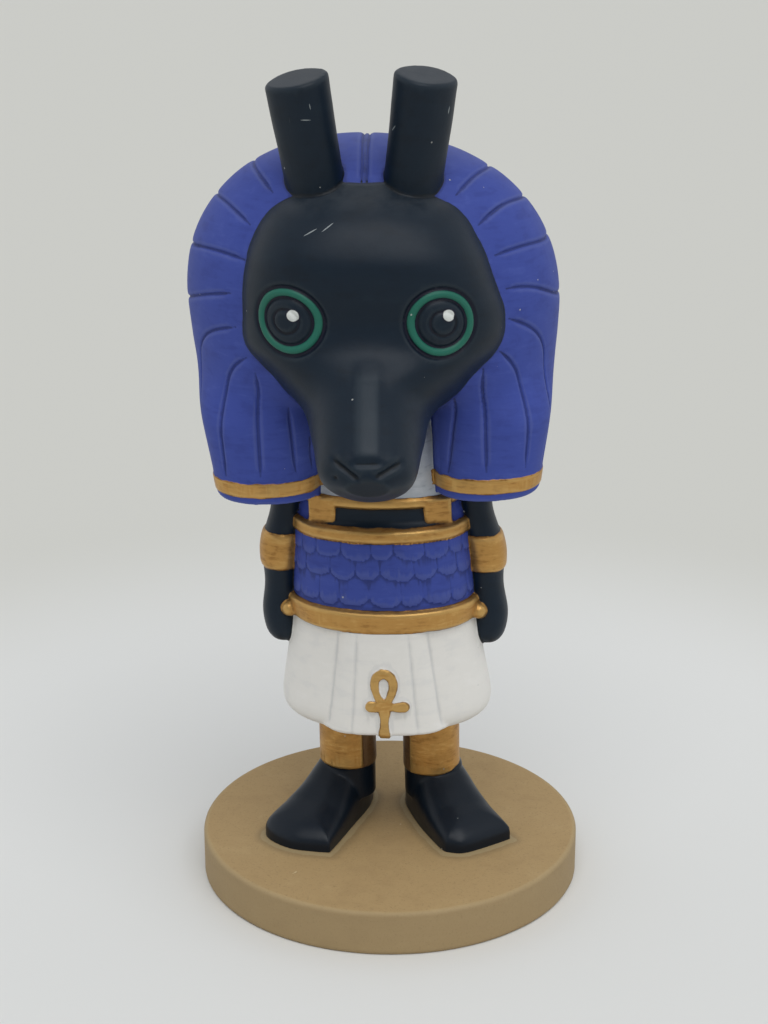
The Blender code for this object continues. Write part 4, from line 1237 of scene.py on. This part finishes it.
def sand_paint(edge, strokes, specks, grain, scratch):
    """The base's matt sand colour, painted shade round the soles and down the side, a painted highlight on
    its rim.
    """
    material, tree, shader = new_material("sand paint")
    sand = brushed(tree, strokes, (169, 142, 98), (160, 133, 91), (177, 151, 107), 0.5, 0.6)["Color"]
    speckle = cloud(tree, place_in_mm(tree), 4.0, 3.0, 0.7)
    sand = laid_over(tree, sand, shade(150, 126, 88), step(tree, speckle, 0.56, 0.7))
    near_sole = kept(tree, "sole")
    # Painted shade close round the soles.
    sand = laid_over(tree, sand, shade(112, 96, 68), step(tree, near_sole, 1.8, 0.3, 0.0, 0.55))
    off_ring = maths(tree, "ABSOLUTE", maths(tree, "SUBTRACT", near_sole, 0.35))
    pale = use(tree, edge, Margin=maths(tree, "SUBTRACT", 0.3, off_ring), Waver=0.25)["Mask"]
    sand = laid_over(tree, sand, shade(176, 160, 122), pale, 0.35)
    # A painted highlight along the rounded top edge.
    sand = laid_over(tree, sand, shade(180, 162, 124), step(tree, kept(tree, "rim"), 0.3, 0.9), 0.3)
    # Painted shade down the side.
    sand = laid_over(tree, sand, shade(150, 131, 98), kept(tree, "side"), 0.5)
    dust = use(tree, specks, Specks_per_mm=0.2, Size=0.12, Share=0.3)["Mask"]
    sand = laid_over(tree, sand, shade(216, 208, 190), dust, 0.6)
    scuff = use(tree, edge, Margin=kept(tree, "scuff"), Waver=0.12, Waves_per_mm=3.0)["Mask"]
    feed(tree, shader.inputs["Base Color"], laid_over(tree, sand, shade(206, 190, 156), scuff))
    feed(tree, shader.inputs["Roughness"], step(tree, speckle, 0.3, 0.7, 0.68, 0.8))
    bumped(tree, shader, times(tree, use(tree, grain, Grains_per_mm=7.0)["Height"], 0.03))
    return material


def studio_floor():
    material, tree, shader = new_material("studio floor")
    away = vectors(tree, "LENGTH", put(tree, "TexCoord").outputs["Object"])["Value"]
    # Pale near the figure and darker from about a tenth of a metre out: painted shade on the far floor.
    colour = laid_over(tree, shade(225, 226, 224), shade(209, 209, 203), step(tree, away, 0.07, 0.13))
    feed(tree, shader.inputs["Base Color"], colour)
    shader.inputs["Roughness"].default_value = 0.7
    return material


# ---- the pieces ------------------------------------------------------------------------------------

def sole_distance(flat):
    """How far a place on the base is outside the nearer sole's outline; negative under it."""
    best = np.full(len(flat), 50.0)
    for side in (0, 1):
        outline = sole_outline(side)
        ahead = np.roll(outline, -1, axis=0)
        crossing = (outline[:, 1] > flat[:, None, 1]) != (ahead[:, 1] > flat[:, None, 1])
        run, rise = (ahead - outline).T
        share = (flat[:, None, 1] - outline[:, 1]) / np.where(rise == 0, 1e-9, rise)
        beyond = flat[:, None, 0] < outline[:, 0] + share * run
        inside = (crossing & beyond).sum(axis=1) % 2 == 1
        apart = apart_from(outline, flat)
        best = np.minimum(best, np.where(inside, -apart, apart))
    return best


def base_piece():
    """The round base: a fine disc with a small worn edge, and paint gathered round the soles."""
    edge_turns = np.linspace(0.2, math.pi / 2, 6)
    side_top = BASE_THICKNESS - BASE_EDGE - 0.2
    rings = [(radius, BASE_THICKNESS, 0.0) for radius in np.linspace(0.15, BASE_RADIUS - BASE_EDGE, 74)]
    for a in edge_turns:
        inset, drop = BASE_EDGE * (1 - math.sin(a)), BASE_EDGE * (1 - math.cos(a))
        rings.append((BASE_RADIUS - inset, BASE_THICKNESS - drop, min(1.0, a)))
    rings += [(BASE_RADIUS, level, 1.0) for level in np.linspace(side_top, BASE_EDGE / 2, 14)]
    rings += [(BASE_RADIUS - BASE_EDGE / 2, 0.0, 1.0), (0.15, 0.0, 1.0)]
    turn = np.arange(BASE_SIDES) * 2 * math.pi / BASE_SIDES
    places, faces = lofted([
        np.column_stack([radius * np.cos(turn), radius * np.sin(turn), np.full(BASE_SIDES, height)])
        for radius, height, _ in rings
    ])
    sides = np.repeat([side for *_, side in rings], BASE_SIDES)
    sole = sole_distance(places[:, :2])
    top = places[:, 2] > BASE_THICKNESS - 0.01
    wave = hand_unevenness(places, 6.0, 5.0)
    fillet = 0.22 * np.exp(-(np.maximum(sole, 0) / 0.55) ** 2)
    places[:, 2] += np.where(top, fillet + 0.05 * wave, 0.0)
    worn = np.where(sides > 0.2, 0.04 * np.abs(wave), 0.0)
    reach = np.maximum(np.linalg.norm(places[:, :2], axis=1), 1e-6)
    places[:, :2] -= places[:, :2] / reach[:, None] * worn[:, None]
    mesh = plain_mesh("sand_base", places * MM, faces)
    # The sand paint reads these: painted shade round the soles and down the side, and a painted highlight
    # along the top edge.
    store(mesh, "sole", np.clip(sole, -3, 3))
    rim = bell(np.hypot(places[:, 0], places[:, 1]) - BASE_RADIUS + BASE_EDGE * 0.6, 0.3)
    store(mesh, "rim", rim * (places[:, 2] > BASE_THICKNESS - BASE_EDGE - 0.1))
    store(mesh, "side", sides)
    run = np.array([0.9, 0.7]) / np.hypot(0.9, 0.7)
    off = places[:, :2] - np.array([-10.7, -13.6])
    across = np.hypot(off @ run * 0.25, off @ np.array([-run[1], run[0]]))
    store(mesh, "scuff", np.where(top, 0.12 - across, -1.0))
    return on_bench("sand_base", mesh)


def casting_piece():
    forms = all_forms()
    skin = fused(forms)
    carve(skin, forms)
    dense = places_of(skin)
    stands_out = relief_of(skin, dense, normals_of(skin))
    nearest = KDTree(len(dense))
    for k, place in enumerate(dense):
        nearest.insert(place, k)
    nearest.balance()
    skin = thinned(skin)
    mark_paints(skin, forms)
    same = [nearest.find(place)[1] for place in places_of(skin)]
    store(skin, "relief", np.clip(stands_out[same], -0.5, 0.5))
    set_places(skin, stood(places_of(skin)) * MM)
    skin.name = "seth_casting"
    return on_bench("seth_casting", skin)


def make_camera():
    """The photograph's viewpoint: level across, looking down at the figure from in front."""
    lens = bpy.data.cameras.new("photo view")
    lens.sensor_fit = "VERTICAL"
    lens.sensor_height = 36.0
    lens.lens = 2200.0 / 1024.0 * 36.0
    lens.clip_start = 0.001
    turn, down, distance, height, aside = math.radians(2.0), math.radians(19.66), 0.2442, 0.1332, -0.000744
    camera = on_bench("photo view", lens)
    right = Vector((math.cos(turn), math.sin(turn), 0.0))
    ahead = Vector((-math.sin(turn), math.cos(turn), 0.0))
    camera.location = -ahead * distance + right * aside + Vector((0.0, 0.0, height))
    camera.rotation_euler = (math.pi / 2 - down, 0.0, turn)
    bpy.context.scene.camera = camera


def make_lights():
    """One very soft light from above, and a pale room."""
    lamp = bpy.data.lights.new("overhead diffuser", "SUN")
    lamp.energy = 1.5
    lamp.angle = math.radians(55.0)
    towards_light = Vector((0.14, -0.55, 1.0))
    on_bench("overhead diffuser", lamp).rotation_euler = towards_light.to_track_quat("Z", "Y").to_euler()
    world = bpy.data.worlds.new("studio")
    bpy.context.scene.world = world
    world.use_nodes = True
    tree = world.node_tree
    background = tree.nodes["Background"]
    background.inputs["Color"].default_value = COOL_WHITE
    way = put(tree, "SeparateXYZ", {0: put(tree, "TexCoord").outputs["Generated"]}).outputs
    walls = step(tree, maths(tree, "ABSOLUTE", way["X"]), 0.3, 0.95, 0.0, 0.35)
    strength = maths(tree, "ADD", step(tree, way["Y"], -0.7, 0.7, 0.31, 0.57), walls)
    feed(tree, background.inputs["Strength"], strength)
    wall = put(tree, "Background", {"Color": shade(205, 206, 201)})
    in_view = put(tree, "LightPath").outputs["Is Camera Ray"]
    shown = put(tree, "MixShader", {0: in_view, 1: background.outputs[0], 2: wall.outputs[0]})
    feed(tree, tree.nodes["World Output"].inputs["Surface"], shown.outputs[0])
    bpy.context.scene.view_settings.view_transform = "Standard"


def make_floor():
    shape = bmesh.new()
    bmesh.ops.create_circle(shape, cap_ends=True, radius=FLOOR_RADIUS, segments=96)
    mesh = bpy.data.meshes.new("floor")
    shape.to_mesh(mesh)
    shape.free()
    floor = on_bench("floor", mesh)
    floor.data.materials.append(studio_floor())


make_camera()
make_lights()
make_floor()

wig_shell = tree_of(("blue", *wig_form()))
kilt_shell = tree_of(("white", *kilt_form()), ("white", *apron_form()))
strands = Grooves(wig_shell, strand_paths(wig_shell), STRAND_GROOVE[0])
pleats = Grooves(kilt_shell, pleat_paths(kilt_shell), PLEAT_GROOVE[0])
eyes = eye_frames(tree_of(("black", *head_form())))

casting = casting_piece()
sand_base = base_piece()
effects = (hand_painted_edge(), brush_strokes(), dust_specks(), resin_grain(), hairline_scratch())
casting.data.materials.append(painted_casting(*effects))
sand_base.data.materials.append(sand_paint(*effects))
for piece, node, finish in ((casting, "figure", "painted_figure"), (sand_base, "base", "sand_base")):
    piece.data.shade_smooth()
    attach(piece, "root")
    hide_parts(node)
